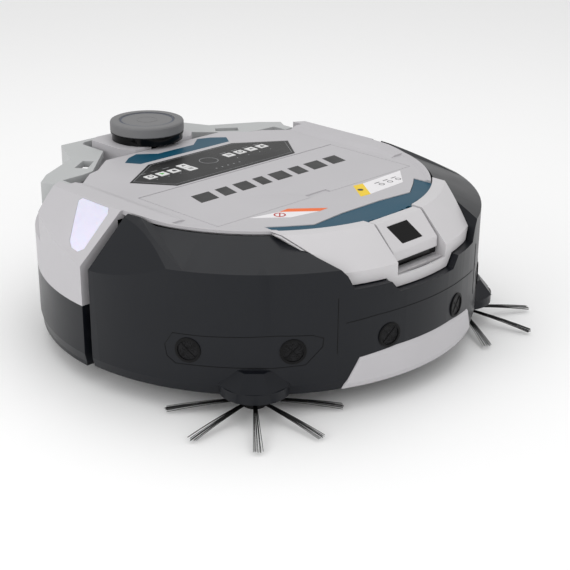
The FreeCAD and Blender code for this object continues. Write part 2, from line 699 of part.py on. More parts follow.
def bumper_solid(inset, drop):
    """All that the bumper encloses; beside the slots its band rises to the ridges."""
    low = turned(bumper_profile(inset, drop, "band_height"))
    high = turned(bumper_profile(inset, drop, RIDGE_TOP))
    top = "(%s - %s * 1.1)" % (RIDGE_TOP, inset)
    fall = "((%s - band_height) / (band_rise_y - band_fall_y))" % RIDGE_TOP
    below = side_prism([("10", "0"), ("10", top), ("band_rise_y", top),
                        ("-body_radius - 5", "%s - %s * (band_rise_y + body_radius + 5)" % (top, fall)),
                        ("-body_radius - 5", "0")], "-body_radius - 5", "body_radius + 5")
    return cut(fuse(low, overlap(high, below)), *facet_tool(inset))


def facet_tool(inset):
    """All that lies above the side facets, on both sides."""
    tools = []
    drop = "%s * 1.36" % inset
    foot = "(facet_foot - %s - 5 * facet_slope)" % drop
    ridge = "(facet_foot - %s + 75 * facet_slope)" % drop
    right = [("body_radius + 5", foot), ("body_radius + 5", ridge), ("body_radius - 75", ridge)]
    tools.append(front_prism(right, "-body_radius - 5", "5"))
    tools.append(front_prism([(minus(u), v) for u, v in right], "-body_radius - 5", "5"))
    return tools


def brush_cover(x, y):
    """A faceted cover over a side brush: eight sides, a cone above a round flange."""
    top = "(rim_height + 1 + cover_flange + cover_rise)"
    low = "(rim_height + 1 + cover_flange)"
    rings = []
    for radius, height in (("cover_radius + 1.5", low), ("cover_top_radius", top)):
        ring = fresh("Part::RegularPolygon", "Ring")
        ring.Polygon = 8
        bind(ring, Circumradius=radius)
        place(ring, x, y, height, "rotationz(22.5)")
        rings.append(ring)
    hood = fresh("Part::Loft", "Loft")
    hood.Sections = rings
    hood.Solid = True
    hood.Ruled = True
    return fuse(hood, cylinder("cover_radius", "rim_height + 1", low, x, y))


def cover_room(x, y):
    """The hollow under a brush cover."""
    low = "(rim_height + 1 + cover_flange)"
    return fuse(cylinder("cover_radius - shell_wall", "rim_height - 4", low + " - 3", x, y),
                cone("cover_radius - shell_wall", "cover_top_radius - shell_wall - 1", low + " - 3",
                     low + " + cover_rise - 3", x, y))


def sonar_rods(radius, near, far):
    """Short rods through the bumper's wall, one at each distance sensor."""
    rods = []
    for angle, height in SONARS:
        for sign in (-1, 1):
            item = fresh("Part::Cylinder", "Sonar")
            bind(item, Radius=radius, Height="(%s) - (%s)" % (far, near))
            turn = "(%d * %s)" % (sign, angle)
            place(item, "(%s) * sin(%s * 1deg)" % (near, turn), "-(%s) * cos(%s * 1deg)" % (near, turn),
                  height, "rotationz(%s) * rotationx(90)" % turn)
            rods.append(item)
    return rods


def chin_outline(extra):
    low = "rim_height + 0.5"
    return mirrored([("chin_half_low", low), ("chin_half_high", "chin_shoulder + %s" % extra),
                     ("chin_half_high / 2", "(chin_shoulder + 3 * chin_top) / 4 + %s" % extra)])


def front_chin():
    """The light chin at the foot of the bumper."""
    ring = turned([("body_radius - chin_inset", "rim_height"), ("body_radius + chin_proud - 2",
                                                                "rim_height"),
                   ("body_radius + chin_proud", "rim_height + 6"),
                   ("body_radius + chin_proud", "chin_shoulder - 2"),
                   ("body_radius - chin_inset", "chin_top + 2")])
    shape = front_prism(chin_outline("0"), "-body_radius - 10", "0")
    return overlap(ring, shape)


def visor_outline(gap):
    """Front outline of the visor and its ledge, moved out by a gap."""
    return mirrored([("visor_half_high + %s" % gap, "visor_top + 30"),
                     ("visor_half_high + %s" % gap, "visor_top"),
                     ("visor_half_mid + %s" % gap, "visor_crease"),
                     ("visor_half_low + %s" % gap, "visor_low - %s" % gap),
                     ("ledge_half_high + %s" % gap, "visor_low - %s" % gap),
                     ("ledge_half_low + %s" % gap, "ledge_low - %s" % gap)])


def visor_prism(gap):
    return front_prism(visor_outline(gap), "-body_radius - 5", "0")


def bumper_wall():
    """The thin wall of the bumper with its opening for the visor, a flange round it and a lip."""
    behind = box("-body_radius - 50", "body_radius + 50", "-slot_width", "body_radius + 50", "0", "300")
    opening = cylinder("band_radius", LIP_TOP, RIDGE_TOP + " + 10")
    skin = cut(bumper_solid("0", "0"), bumper_solid("shell_wall", "1"), opening)
    lip_low = LIP_TOP + " - lip_thick"
    ring = turned([("lip_radius", lip_low), ("band_radius + shell_wall", lip_low),
                   ("band_radius + shell_wall", RIDGE_TOP), ("band_radius", RIDGE_TOP),
                   ("band_radius", LIP_TOP), ("lip_radius", LIP_TOP)])
    lip = overlap(ring, bumper_solid("0", "0"))
    border = cut(visor_prism("(visor_gap + flange_wall)"), bumper_solid("flange_depth", "1"))
    flange = overlap(border, bumper_solid("0", "0"))
    return cut(fuse(skin, lip, cut(flange, cylinder("band_radius", "0", RIDGE_TOP + " + 10"))),
               behind, visor_prism("visor_gap"))


def bumper():
    wall = bumper_wall()
    covers = [brush_cover(x, y) for name, x, y in brush_places()]
    flanges = []
    for name, sign in sides():
        x_low, x_high = span(sign, "body_radius - 28", INNER_RADIUS + " + 0.5")
        flanges.append(box(x_low, x_high, "-slot_width - shell_wall", "-slot_width", "rim_height + 14",
                           "spring_high + 14"))
    rooms = [cover_room(x, y) for name, x, y in brush_places()]
    chin_bed = overlap(cut(cylinder("body_radius + 5", "0", "chin_top + 10"),
                           cylinder("body_radius - chin_inset", "-1", "chin_top + 11")),
                       front_prism(chin_outline("0"), "-body_radius - 10", "0"))
    whole = cut(fuse(wall, *(covers + flanges)), chin_bed, *(rooms + sonar_rods(
        "sonar_radius - 1", "body_radius - 20", "body_radius + 10")))
    node("bumper_shell", whole)
    node("front_chin", front_chin())
    rings = []
    for big, small, hole in zip(
            sonar_rods("sonar_radius - 1", "body_radius - sonar_depth", "body_radius + sonar_proud"),
            sonar_rods("sonar_radius", "body_radius", "body_radius + sonar_proud - 0.3"),
            sonar_rods("sonar_face", "body_radius - sonar_depth - 1", "body_radius + sonar_proud + 1")):
        rings.append(cut(fuse(big, small), hole))
    node("sonar_bezels", group(*rings))
    node("sonar_discs", group(*sonar_rods("sonar_face", "body_radius - sonar_depth",
                                          "body_radius + sonar_proud - 1.2")))
    springs = []
    for name, sign in sides():
        for height in ("spring_low", "spring_high"):
            x = "%d * (body_radius - spring_inset)" % sign
            springs.append(cut(bar("spring_radius", "-slot_width", "0", x, height),
                               bar("spring_radius - spring_wire", "-slot_width - 1", "1", x, height)))
    node("bumper_springs", group(*springs))


# ---------------------------------------------------------------- main brush

def toothed(teeth, pitch, x_low, x_high, y, z, phase):
    """A spur gear along X: a root disc and straight tapered teeth."""
    disc = rod("%s - tooth_height / 2" % pitch, x_low, x_high, y, z)
    parts = [disc]
    for i in range(teeth):
        half = "%s * 3.1416 / %d / 2 * 0.88" % (pitch, teeth)
        tooth = side_prism([("-(%s) * 1.35" % half, "%s - tooth_height / 2 - 0.6" % pitch),
                            ("(%s) * 1.35" % half, "%s - tooth_height / 2 - 0.6" % pitch),
                            ("(%s) * 0.62" % half, "%s + tooth_height / 2 - 0.2" % pitch),
                            ("-(%s) * 0.62" % half, "%s + tooth_height / 2 - 0.2" % pitch)],
                           "0", "(%s) - (%s)" % (x_high, x_low))
        place(tooth, x_low, y, z, "rotationx(%s + %f)" % (phase, 360.0 * i / teeth))
        parts.append(tooth)
    return fuse(*parts)


def main_brush():
    core = rod("core_radius", "-main_half", "main_half", "main_y", "main_z")
    shaft = rod("shaft_radius", minus(GEAR_FAR), "main_half + end_gap + tunnel_wall", "main_y", "main_z")
    node("main_brush_core", fuse(core, shaft))
    rows = []
    for i in range(6):
        row = box("-main_half + 2", "main_half - 2", "-bristle_thick / 2", "bristle_thick / 2",
                  "core_radius - 1", "bristle_radius")
        row.setExpression("Placement", full(
            "placement(vector(-main_half + 2; main_y; main_z); rotationx(%d)) * "
            "placement(vector(0; -bristle_thick / 2; core_radius - 1); rotationz(0))" % (60 * i)))
        rows.append(row)
    core_room = rod("core_radius", "-main_half - 1", "main_half + 1", "main_y", "main_z")
    node("main_brush_bristles", cut(fuse(*rows), core_room))
    x_low = minus(GEAR_FAR)
    x_high = "(%s) + gear_width" % x_low
    gear = toothed(20, "gear_pitch", x_low, x_high, "main_y", "main_z", "90 - mesh_angle")
    node("main_brush_gear", cut(gear, rod("shaft_radius", x_low + " - 1", x_high + " + 1", "main_y",
                                          "main_z")))
    pinion = toothed(10, "pinion_pitch", x_low, x_high, PINION_Y, PINION_Z, "270 - mesh_angle + 18")
    motor_end = x_low + " - 3"
    shaft = rod("shaft_radius - 1", motor_end + " - 8", x_low, PINION_Y, PINION_Z)
    node("brush_motor_pinion", fuse(pinion, shaft))
    can = rod("brush_motor_radius", motor_end + " - brush_motor_length", motor_end, PINION_Y, PINION_Z)
    foot = box(motor_end + " - brush_motor_length + 4", motor_end + " - 4", PINION_Y + " - 9",
               PINION_Y + " + 9", BASE_TOP, PINION_Z)
    bore = rod("shaft_radius - 1 + shaft_gap", motor_end + " - 10", motor_end + " + 1", PINION_Y, PINION_Z)
    node("brush_motor", cut(fuse(can, foot), bore))


# ---------------------------------------------------------------- wheels

def drive_wheel(name, sign):
    near, far = span(sign, "wheel_x - wheel_width / 2", "wheel_x + wheel_width / 2")
    tyre = cut(rod("wheel_radius", near, far, "0", AXLE_Z),
               rod("wheel_radius - tyre_thick", near + " - 1", far + " + 1", "0", AXLE_Z))
    node("tyre_%s" % name, tyre)
    near, far = span(sign, "wheel_x - hub_width / 2", "wheel_x + hub_width / 2")
    disc = rod("wheel_radius - tyre_thick", near, far, "0", AXLE_Z)
    near, far = span(sign, "wheel_x + hub_width / 2 - 5", "wheel_x + hub_width / 2 + 1")
    dish = cut(rod("wheel_radius - tyre_thick - 4", near, far, "0", AXLE_Z),
               rod("axle_radius + 6", near + " - 1", far + " + 1", "0", AXLE_Z))
    near, far = span(sign, ARM_IN + " + 2", "wheel_x")
    axle = rod("axle_radius", near, far, "0", AXLE_Z)
    node("wheel_hub_%s" % name, fuse(cut(disc, dish), axle))
    near, far = span(sign, ARM_IN, ARM_OUT)
    ends = [rod("arm_end_radius", near, far, "0", AXLE_Z), rod("arm_pivot_radius", near, far, "arm_reach",
                                                               PIVOT_Z)]
    axle_low = AXLE_Z + " - arm_end_radius + 0.5"
    axle_high = AXLE_Z + " + arm_end_radius - 0.5"
    pivot_low = PIVOT_Z + " - arm_pivot_radius + 0.3"
    pivot_high = PIVOT_Z + " + arm_pivot_radius - 0.3"
    web = side_prism([("0", axle_low), ("arm_reach", pivot_low), ("arm_reach", pivot_high),
                      ("0", axle_high)], near, far)
    pin_near, pin_far = span(sign, ARM_IN + " - lug_thick", ARM_OUT + " + lug_thick")
    pin = rod("axle_radius", pin_near, pin_far, "arm_reach", PIVOT_Z)
    can_near, can_far = span(sign, ARM_IN + " - drive_motor_length", ARM_IN)
    motor = rod("drive_motor_radius", can_near, can_far, "0", AXLE_Z)
    bore_near, bore_far = span(sign, ARM_IN + " + 1", ARM_OUT + " + 1")
    bore = rod("axle_radius + shaft_gap", bore_near, bore_far, "0", AXLE_Z)
    node("wheel_arm_%s" % name, cut(fuse(*(ends + [web, pin, motor])), bore))


def caster():
    axle_y = "caster_y + caster_trail"
    crown_low = "(2 * caster_radius + 1)"
    crown = cylinder("caster_width / 2 + caster_plate + 6", crown_low, crown_low + " + caster_plate", 0,
                     "caster_y")
    stem = cylinder("caster_stem", crown_low, crown_low + " + caster_plate + 10", 0, "caster_y")
    legs = []
    for name, sign in sides():
        near, far = span(sign, "caster_width / 2 + 0.5", "caster_width / 2 + 0.5 + caster_plate")
        legs.append(box(near, far, axle_y + " - 5", axle_y + " + 5", "caster_radius", crown_low))
        legs.append(rod("5", near, far, axle_y, "caster_radius"))
    half = "caster_width / 2 + 0.5 + caster_plate"
    hole = rod("caster_pin + shaft_gap", minus(half) + " - 1", half + " + 1", axle_y, "caster_radius")
    node("caster_fork", cut(fuse(crown, stem, *legs), hole))
    wheel = rod("caster_radius", "-caster_width / 2", "caster_width / 2", axle_y, "caster_radius")
    pin = rod("caster_pin", minus(half), half, axle_y, "caster_radius")
    node("caster_wheel", fuse(wheel, pin))


# ---------------------------------------------------------------- dust box, filter and fan

def dust_box():
    low = "tunnel_top"
    high = DECK_LOW + " - box_headroom"
    outer = middle_box("box_half", "box_front", "box_rear", low, high)
    inner = middle_box("box_half - box_wall", "box_front + box_wall", "box_rear - box_wall",
                       low + " + box_wall", high + " + 1")
    mouth = middle_box("box_half - 20", "main_y + 6", "main_y + 18", low + " - 1", low + " + box_wall + 1")
    window = middle_box("filter_half - 5", "box_rear - box_wall - 1", "box_rear + 1", "filter_low + 5",
                        "filter_high - 5")
    node("dust_box", cut(outer, inner, mouth, window))
    filter_box = middle_box("filter_half", "box_rear", "box_rear + filter_thick", "filter_low",
                            "filter_high")
    grooves = [middle_box("filter_half - 4", "box_rear + filter_thick - 5", "box_rear + filter_thick + 1",
                          "filter_low + 6 + %d * 8" % i, "filter_low + 8 + %d * 8" % i) for i in range(7)]
    node("hepa_filter", cut(filter_box, *grooves))


def fan():
    front = "(box_rear + filter_thick)"
    rear = "(%s + fan_depth)" % front
    drum = bar("fan_radius", front, rear, "0", "fan_height")
    room = bar("fan_radius - 3", front + " + 4", rear + " - 4", "0", "fan_height")
    inlet = bar("fan_inlet", front + " - 1", front + " + 5", "0", "fan_height")
    pedestal = middle_box("20", front + " + 4", rear + " - 4", BASE_TOP, "fan_height - fan_radius + 6")
    bore = bar("fan_shaft + shaft_gap", rear + " - 5", rear + " + 14", "0", "fan_height")
    motor = bar("16", rear, rear + " + 12", "0", "fan_height")
    node("fan_housing", cut(fuse(cut(drum, room), cut(pedestal, bar("fan_radius - 2", front, rear, "0",
                                                                    "fan_height")),
                                 motor), inlet, bore))
    low = front + " + 8"
    high = low + " + impeller_depth"
    plate = bar("impeller_radius", high + " - 2", high, "0", "fan_height")
    hub = bar("9", low, high, "0", "fan_height")
    shaft = bar("fan_shaft", high, rear + " + 10", "0", "fan_height")
    blades = []
    for i in range(9):
        blade = box("0", "impeller_radius - 9", "0", "impeller_depth - 1", "0", "1.6")
        blade.setExpression("Placement", full(
            "placement(vector(0; %s; fan_height); rotationy(%d)) * "
            "placement(vector(8; 0; -4); rotationy(12))"
            % (low, 40 * i)))
        blades.append(blade)
    node("fan_impeller", fuse(plate, hub, shaft, *blades))


# ---------------------------------------------------------------- batteries and board

def batteries():
    for name, sign in sides():
        near, far = span(sign, "battery_inner", "battery_inner + battery_width")
        low = BASE_TOP + " + rail_height"
        pack = box(near, far, "battery_front", "battery_front + battery_length - 6", low,
                   low + " + battery_tall - 12")
        near_top, far_top = span(sign, "battery_inner + 8", "battery_inner + battery_width - 8")
        rail = box(near_top, far_top, "battery_front", "battery_front + battery_length - 14",
                   low + " + battery_tall - 12", low + " + battery_tall")
        catch = box(near_top, far_top, "battery_front + battery_length - 6",
                    "battery_front + battery_length",
                    low + " + 8", low + " + 30")
        node("battery_%s" % name, fuse(pack, rail, catch))


def main_board():
    board = middle_box("board_half", "board_front", "board_rear", "board_height",
                       "board_height + board_thick")
    chips = []
    for x, y, half, tall in (("-60", "100", "12", "3"), ("-10", "104", "9", "3"), ("35", "98", "7", "5"),
                             ("70", "110", "10", "9"), ("-85", "138", "8", "9"), ("20", "140", "14", "3")):
        chips.append(box("%s - %s" % (x, half), "%s + %s" % (x, half), "%s - %s" % (y, half),
                         "%s + %s" % (y, half),
                         "board_height + board_thick", "board_height + board_thick + %s" % tall))
    node("main_board", fuse(board, *chips))


# ---------------------------------------------------------------- rear shells

DOOR_X = "(door_half - fit_gap)"
DOOR_Y = "(sqrt(body_radius * body_radius - door_half * door_half) + 0.3)"


def door_knuckles(radius, gap):
    """The battery cover's own knuckles, low and high on the hinge line."""
    x = minus(DOOR_X)
    return [cylinder(radius, "door_low + 3 - %s" % gap, "door_low + 3 + knuckle_length + %s" % gap, x,
                     DOOR_Y),
            cylinder(radius, "door_high - 3 - knuckle_length - %s" % gap, "door_high - 3 + %s" % gap, x,
                     DOOR_Y)]


def middle_knuckle(radius, gap):
    return cylinder(radius, "door_low + 3 + knuckle_length + 0.4 - %s" % gap,
                    "door_high - 3 - knuckle_length - 0.4 + %s" % gap, minus(DOOR_X), DOOR_Y)


def wall_profile(inset, low, high):
    return [("0", low), ("body_radius - rim_setback - %s" % inset, low),
            ("body_radius - %s" % inset, "rim_height + rim_flare"), ("body_radius - %s" % inset,
                                                                     high), ("0", high)]


def rear_wall():
    """The rear lower wall with its end walls at the slots."""
    outer = turned(wall_profile("0", "rim_height", "split_height"), angle=180)
    inner = turned(wall_profile("shell_wall", "rim_height - 1", "split_height + 1"), angle=180)
    ends = []
    for name, sign in sides():
        near, far = span(sign, "body_radius - 28", "body_radius + 5")
        ends.append(box(near, far, "0", "shell_wall", "rim_height", "split_height"))
    return fuse(cut(outer, inner), overlap(fuse(*ends), outer))


def rear_lower_shell():
    wall = rear_wall()
    opening = middle_box("door_half", "0", "body_radius + 10", "door_low", "door_high")
    knuckle = middle_knuckle("knuckle_radius", "0")
    bore = cylinder("hinge_pin + shaft_gap", "0", "split_height + 20", minus(DOOR_X), DOOR_Y)
    arm = overlap(box("-door_half - 6", minus(DOOR_X), "0", "body_radius + 10",
                      "door_low + 3 + knuckle_length + 0.4", "door_high - 3 - knuckle_length - 0.4"),
                  turned(wall_profile("0", "rim_height", "split_height"), angle=180))
    strip = cut(arm, turned(wall_profile("shell_wall", "rim_height - 1", "split_height + 1"), angle=180))
    frame = cut(wall, opening, *door_knuckles("knuckle_radius + 0.4", "0.4"))
    node("rear_lower_shell", cut(fuse(frame, knuckle, strip), bore))


def battery_cover():
    """The curved cover over both batteries, hinged at its left end."""
    ring = cut(turned(wall_profile("0", "door_low + fit_gap", "door_high - fit_gap"), angle=180),
               turned(wall_profile("shell_wall", "door_low - 1", "door_high + 1"), angle=180))
    ring = overlap(ring, middle_box(DOOR_X, "0", "body_radius + 10", "door_low + fit_gap",
                                    "door_high - fit_gap"))
    pull = overlap(cut(cylinder("body_radius + 3", "door_low + 24", "door_low + 30", angle=180),
                       cylinder("body_radius - 1", "door_low + 23", "door_low + 31")),
                   box("door_half - 44", "door_half - 12", "0", "body_radius + 10", "0", "200"))
    pin = cylinder("hinge_pin", "door_low + 3", "door_high - 3", minus(DOOR_X), DOOR_Y)
    body = cut(fuse(ring, pull), middle_knuckle("knuckle_radius + 0.4", "0.2"))
    node("battery_cover", fuse(body, pin, *door_knuckles("knuckle_radius", "0")))


REAR_EDGE = [("182", "124"), ("182", "109"), ("163", "109"), ("135", "133"), ("119", "138.5"), ("89", "163")]


def raised_block(inset):
    """The raised part behind the slots: deck, shoulders and ridges, moved in by an inset."""
    sections = []
    for y, foot in (("%s" % inset, "shoulder_foot"), ("shoulder_fade", "shoulder_end")):
        slope = "((%s - (%s)) / shoulder_width)" % (RIDGE_TOP, foot)
        drop = "%s * 1.2" % inset
        points = mirrored([("body_radius + 6", "split_height - 20"),
                           ("body_radius + 6", "%s - 6 * %s - %s" % (foot, slope, drop)),
                           (RIDGE_X + " - %s * 0.4" % inset, RIDGE_TOP + " - " + drop),
                           (RIDGE_X + " - ridge_width - %s * 0.2" % inset, RIDGE_TOP + " - " + drop),
                           (RIDGE_X + " - ridge_width - ridge_chamfer", "deck_height - " + drop)])
        sketch = fresh("Sketcher::SketchObject", "Section")
        outline(sketch, points)
        place(sketch, "0", y, "0", "rotationx(90)")
        sections.append(sketch)
    loft = fresh("Part::Loft", "Shoulders")
    loft.Sections = sections
    loft.Solid = True
    loft.Ruled = True
    return loft


def raised_plan(inset):
    """Plan outline of the raised part; its rear edge takes in the handle's notches."""
    move = " - %s * 1.15" % inset
    side = [("body_radius + 10", inset), ("body_radius + 10", "80" + move)]
    for x, y in REAR_EDGE:
        shift = move
        if x == "163":
            x = x + " - %s" % inset
        elif x == "182":
            x = x + " + %s" % inset
        else:
            x = x + " - %s * 0.5" % inset
        side.append((x, y + shift))
    return prism(mirrored(side), "split_height", "250")


def rear_drum(inset):
    high = "rear_height - %s" % inset
    points = [("0", "split_height - %s" % inset), ("body_radius - %s" % inset, "split_height - %s" % inset),
              ("body_radius - %s" % inset, "rear_height - rear_edge_drop - %s * 0.6" % inset),
              ("body_radius - rear_edge_width - %s * 0.3" % inset, high), ("0", high)]
    body = turned(points, angle=180)
    if inset != "0":
        return overlap(body, box("-body_radius", "body_radius", inset, "body_radius", "0", "250"))
    return body


def rear_block(inset):
    """Everything of the upper shell behind the slots."""
    drum = cylinder("body_radius - %s" % inset, "split_height - %s" % inset, "250", angle=180)
    raised = overlap(raised_block(inset), raised_plan(inset), drum)
    return fuse(raised, rear_drum(inset))


def deck_plan(gap):
    """Plan outline of the deck in front of the slots, with its nose; gap moves the nose out."""
    return mirrored([("deck_radius + 5", "4"), ("deck_radius + 5", "-deck_radius + 41"),
                     ("trim_half - %s" % gap, "-deck_radius + 41"),
                     ("trim_half - 1.5 - %s" % gap, "-129 - %s" % gap),
                     ("nose_radius * 0.585", "-nose_radius * 0.811 - %s" % gap),
                     ("deck_nose_half", "deck_nose_side - %s" % gap),
                     ("deck_nose_flat", "deck_nose - %s" % gap)])


def deck_front():
    """The part of the deck plate in front of the slots, with its raised rim and ridges."""
    rim_top = "deck_height + deck_rim_rise"
    rim_in = "deck_radius - deck_rim_width"
    plate = turned([("0", DECK_LOW), (rim_in, DECK_LOW), (rim_in, rim_top + " - deck_rim_thick"),
                    ("deck_radius", rim_top + " - deck_rim_thick"), ("deck_radius", rim_top),
                    (rim_in + " + deck_rim_slope", rim_top), (rim_in, "deck_height"), ("0", "deck_height")])
    ridge_in = RIDGE_X + " - ridge_width"
    foot = "deck_height - 1"
    rail = [("deck_radius", foot), ("deck_radius", RIDGE_TOP), (ridge_in, RIDGE_TOP),
            (ridge_in + " - ridge_chamfer", "deck_height"), (ridge_in + " - ridge_chamfer", foot)]
    rails = fuse(front_prism(rail, "ridge_front", "1"),
                 front_prism([(minus(u), v) for u, v in rail], "ridge_front", "1"))
    below = side_prism([("2", "0"), ("2", RIDGE_TOP), ("band_rise_y", RIDGE_TOP),
                        ("ridge_front", rim_top), ("ridge_front - 1", "0")],
                       "-body_radius", "body_radius")
    ridges = overlap(rails, below, cylinder("deck_radius", "0", "300"))
    return fuse(overlap(plate, prism(deck_plan("0"), DECK_LOW, rim_top + " + 1")), ridges)


def panel_outline():
    return mirrored([("91.8", "32.4"), ("123.5", "75.7"), ("65.5", "114.6")])


def rear_trim_outline():
    return mirrored([("69.3", "123.5"), ("79.6", "139.4"), ("64", "152"), ("47.9", "158"), ("28", "142")])


def lamp_plan(gap):
    """Plan outline of a side lamp with bevelled corners, right-hand side."""
    top_x = "body_radius - lamp_top_inset - %s" % gap
    foot_x = "body_radius - lamp_foot_inset + %s" % gap
    top_low = "lamp_top_front - %s" % gap
    top_high = "lamp_top_front + lamp_top_width + %s" % gap
    foot_low = "lamp_front - %s" % gap
    foot_high = "lamp_front + lamp_foot_width + %s" % gap
    return [(top_x, top_low + " + lamp_corner"), (top_x + " + lamp_corner", top_low),
            (foot_x + " - lamp_corner", foot_low), (foot_x, foot_low + " + lamp_corner"),
            (foot_x, foot_high + " - lamp_corner"),
            (foot_x + " - lamp_corner * 0.8", foot_high + " + lamp_corner * 0.6"),
            (top_x + " + lamp_corner * 0.8", top_high + " - lamp_corner * 0.6"),
            (top_x, top_high + " - lamp_corner")]


def lamp_prisms(gap):
    right = lamp_plan(gap)
    left = [(minus(u), v) for u, v in right]
    return prism(left, "split_height + 20", "250"), prism(right, "split_height + 20", "250")


def handle_pin_bores():
    return [rod("handle_pin + shaft_gap", "pivot_x - leg_width", "pivot_x + leg_width", "pivot_y",
                "pivot_z"),
            rod("handle_pin + shaft_gap", "-pivot_x - leg_width", "-pivot_x + leg_width", "pivot_y",
                "pivot_z")]


def upper_shell():
    outer = rear_block("0")
    inner = rear_block("shell_wall")
    clear = middle_box("body_radius - 50", "-5", "shell_wall + 8", "split_height - 5", DECK_LOW)
    wall = cut(outer, inner, clear)
    lid_room = middle_box("lid_half", "lid_front", "lid_rear", "deck_height - lid_thick", "deck_height + 10")
    lid_well = middle_box("lid_half - lid_ledge", "lid_front + lid_ledge", "lid_rear - lid_ledge",
                          DECK_LOW + " - 20",
                          "deck_height + 10")
    panel_bed = prism(panel_outline(), "deck_height - inlay_sink", "deck_height + 10")
    trim_bed = prism(rear_trim_outline(), "deck_height - inlay_sink", "deck_height + 10")
    axis_y = "lid_rear - fit_gap - lid_thick / 2"
    axis_z = "deck_height - lid_thick / 2"
    pins = [rod("lid_pin + shaft_gap", "-lid_half - 5", "lid_half + 5", axis_y, axis_z)]
    bores = [cylinder("1.2", "deck_height - inlay_sink - 6", "deck_height", x, y) for key, x, y in KEYS]
    left, right = lamp_prisms("0")
    tools = [lid_room, lid_well, panel_bed, trim_bed, left, right] + pins + bores + handle_pin_bores()
    shell = cut(fuse(wall, deck_front()), *tools)
    node("upper_shell", shell)
    for name, tool in (("left", lamp_prisms("-0.15")[0]), ("right", lamp_prisms("-0.15")[1])):
        node("side_lamp_%s" % name, cut(overlap(rear_block("0"), tool), rear_block("shell_wall")))


def dust_lid():
    gap = "fit_gap"
    axis_y = "(lid_rear - fit_gap - lid_thick / 2)"
    axis_z = "(deck_height - lid_thick / 2)"
    plate = middle_box("lid_half - " + gap, "lid_front + " + gap, axis_y, "deck_height - lid_thick",
                       "deck_height")
    edge = rod("lid_thick / 2", "-lid_half + " + gap, "lid_half - " + gap, axis_y, axis_z)
    pin = rod("lid_pin", "-lid_half - 4", "lid_half + 4", axis_y, axis_z)
    finger = middle_box("16", "lid_front", "lid_front + 9", "deck_height - 1.2", "deck_height + 1")
    node("dust_lid", cut(fuse(plate, edge, pin), finger))


# ---------------------------------------------------------------- visor, camera and trims

def visor_profile(inset):
    face = "%s - %s" % (VISOR_FACE, inset)
    return [("visor_inner", "0"), (face, "0"), (face, "visor_crease - %s * 0.4" % inset),
            ("visor_brim - %s * 0.4" % inset, "visor_top - %s" % inset),
            ("visor_inner", "visor_top - %s" % inset)]


def visor():
    plan = front_prism(visor_outline("0"), "-body_radius", "-deck_radius * 0.6")
    skin = cut(turned(visor_profile("0")), turned(visor_profile("shell_wall")))
    lip = turned([("visor_inner", "visor_top - 8"), ("visor_inner + 3", "visor_top - 8"),
                  ("visor_inner + 3", "visor_top"), ("visor_inner", "visor_top")])
    shell = overlap(fuse(skin, lip), plan)
    slot = middle_box("hood_half + hood_gap", "-body_radius", "-visor_inner + 4", "visor_low - 0.5", "300")
    floor = middle_box("ledge_half_high - 4", "hood_lip - 4", "-visor_inner - 14", "visor_low - 3.5",
                       "visor_low - 0.5")
    floor = overlap(floor, cylinder(VISOR_FACE, "0", "200"))
    cheeks = []
    for name, sign in sides():
        near, far = span(sign, "hood_half + hood_gap", "hood_half + hood_gap + 3")
        cheeks.append(box(near, far, "-body_radius", "-visor_inner - 2", "visor_low - 3.5", "visor_top + 4"))
    cheeks = overlap(fuse(*cheeks), turned(visor_profile("0")))
    bosses = []
    for sign in ("", "-"):
        bosses.append(cylinder("post_radius + 1", "visor_post_top", "visor_post_top + 30",
                               sign + "visor_post_x",
                               "visor_post_y"))
    bosses = overlap(fuse(*bosses), turned(visor_profile("1")))
    node("visor", fuse(cut(shell, slot), floor, cheeks, bosses))


HOOD_SLOPE = "((hood_brow_height - hood_lip_height) / (hood_brow - hood_lip))"


def hood_outline():
    return [("hood_back", "visor_low"), ("hood_back", "hood_brow_height"), ("hood_brow", "hood_brow_height"),
            ("hood_lip", "hood_lip_height"), ("hood_lip", "hood_lip_low"),
            ("hood_lip + 14", "hood_lip_low"), ("hood_lip + 14", "visor_low")]


def hood_slab(high, low):
    """A slab along the hood's slope between two depths below its surface."""
    corners = []
    for depth in (high, low):
        for y in ("hood_brow", "hood_lip"):
            z = "hood_brow_height + (%s - hood_brow) * %s - %s" % (y, HOOD_SLOPE, depth)
            corners.append((y, z))
    return side_prism([corners[0], corners[1], corners[3], corners[2]], "-hood_half", "hood_half")


def window_prism():
    return prism([("-window_half - window_skew", "window_back"), ("window_half - window_skew",
                                                                  "window_back"),
                  ("window_half", "window_front"), ("-window_half", "window_front")], "0", "300")


def camera_hood():
    """The camera's hood with its sloping window and the dark strip under its front face."""
    block = side_prism(hood_outline(), "-hood_half", "hood_half")
    room = overlap(hood_slab("-5", "6"), window_prism())
    skirt_room = middle_box("hood_half - 3", "hood_lip + 18", "hood_back - 3", "visor_low - 1",
                            "hood_lip_low + 4")
    node("camera_hood", cut(block, room, skirt_room))
    glass = overlap(hood_slab("0.6", "6"), window_prism())
    strip = middle_box("hood_half - 1", "hood_lip + 1.5", "hood_lip + 14", "strip_low", "hood_lip_low")
    node("camera_window", group(glass, strip))


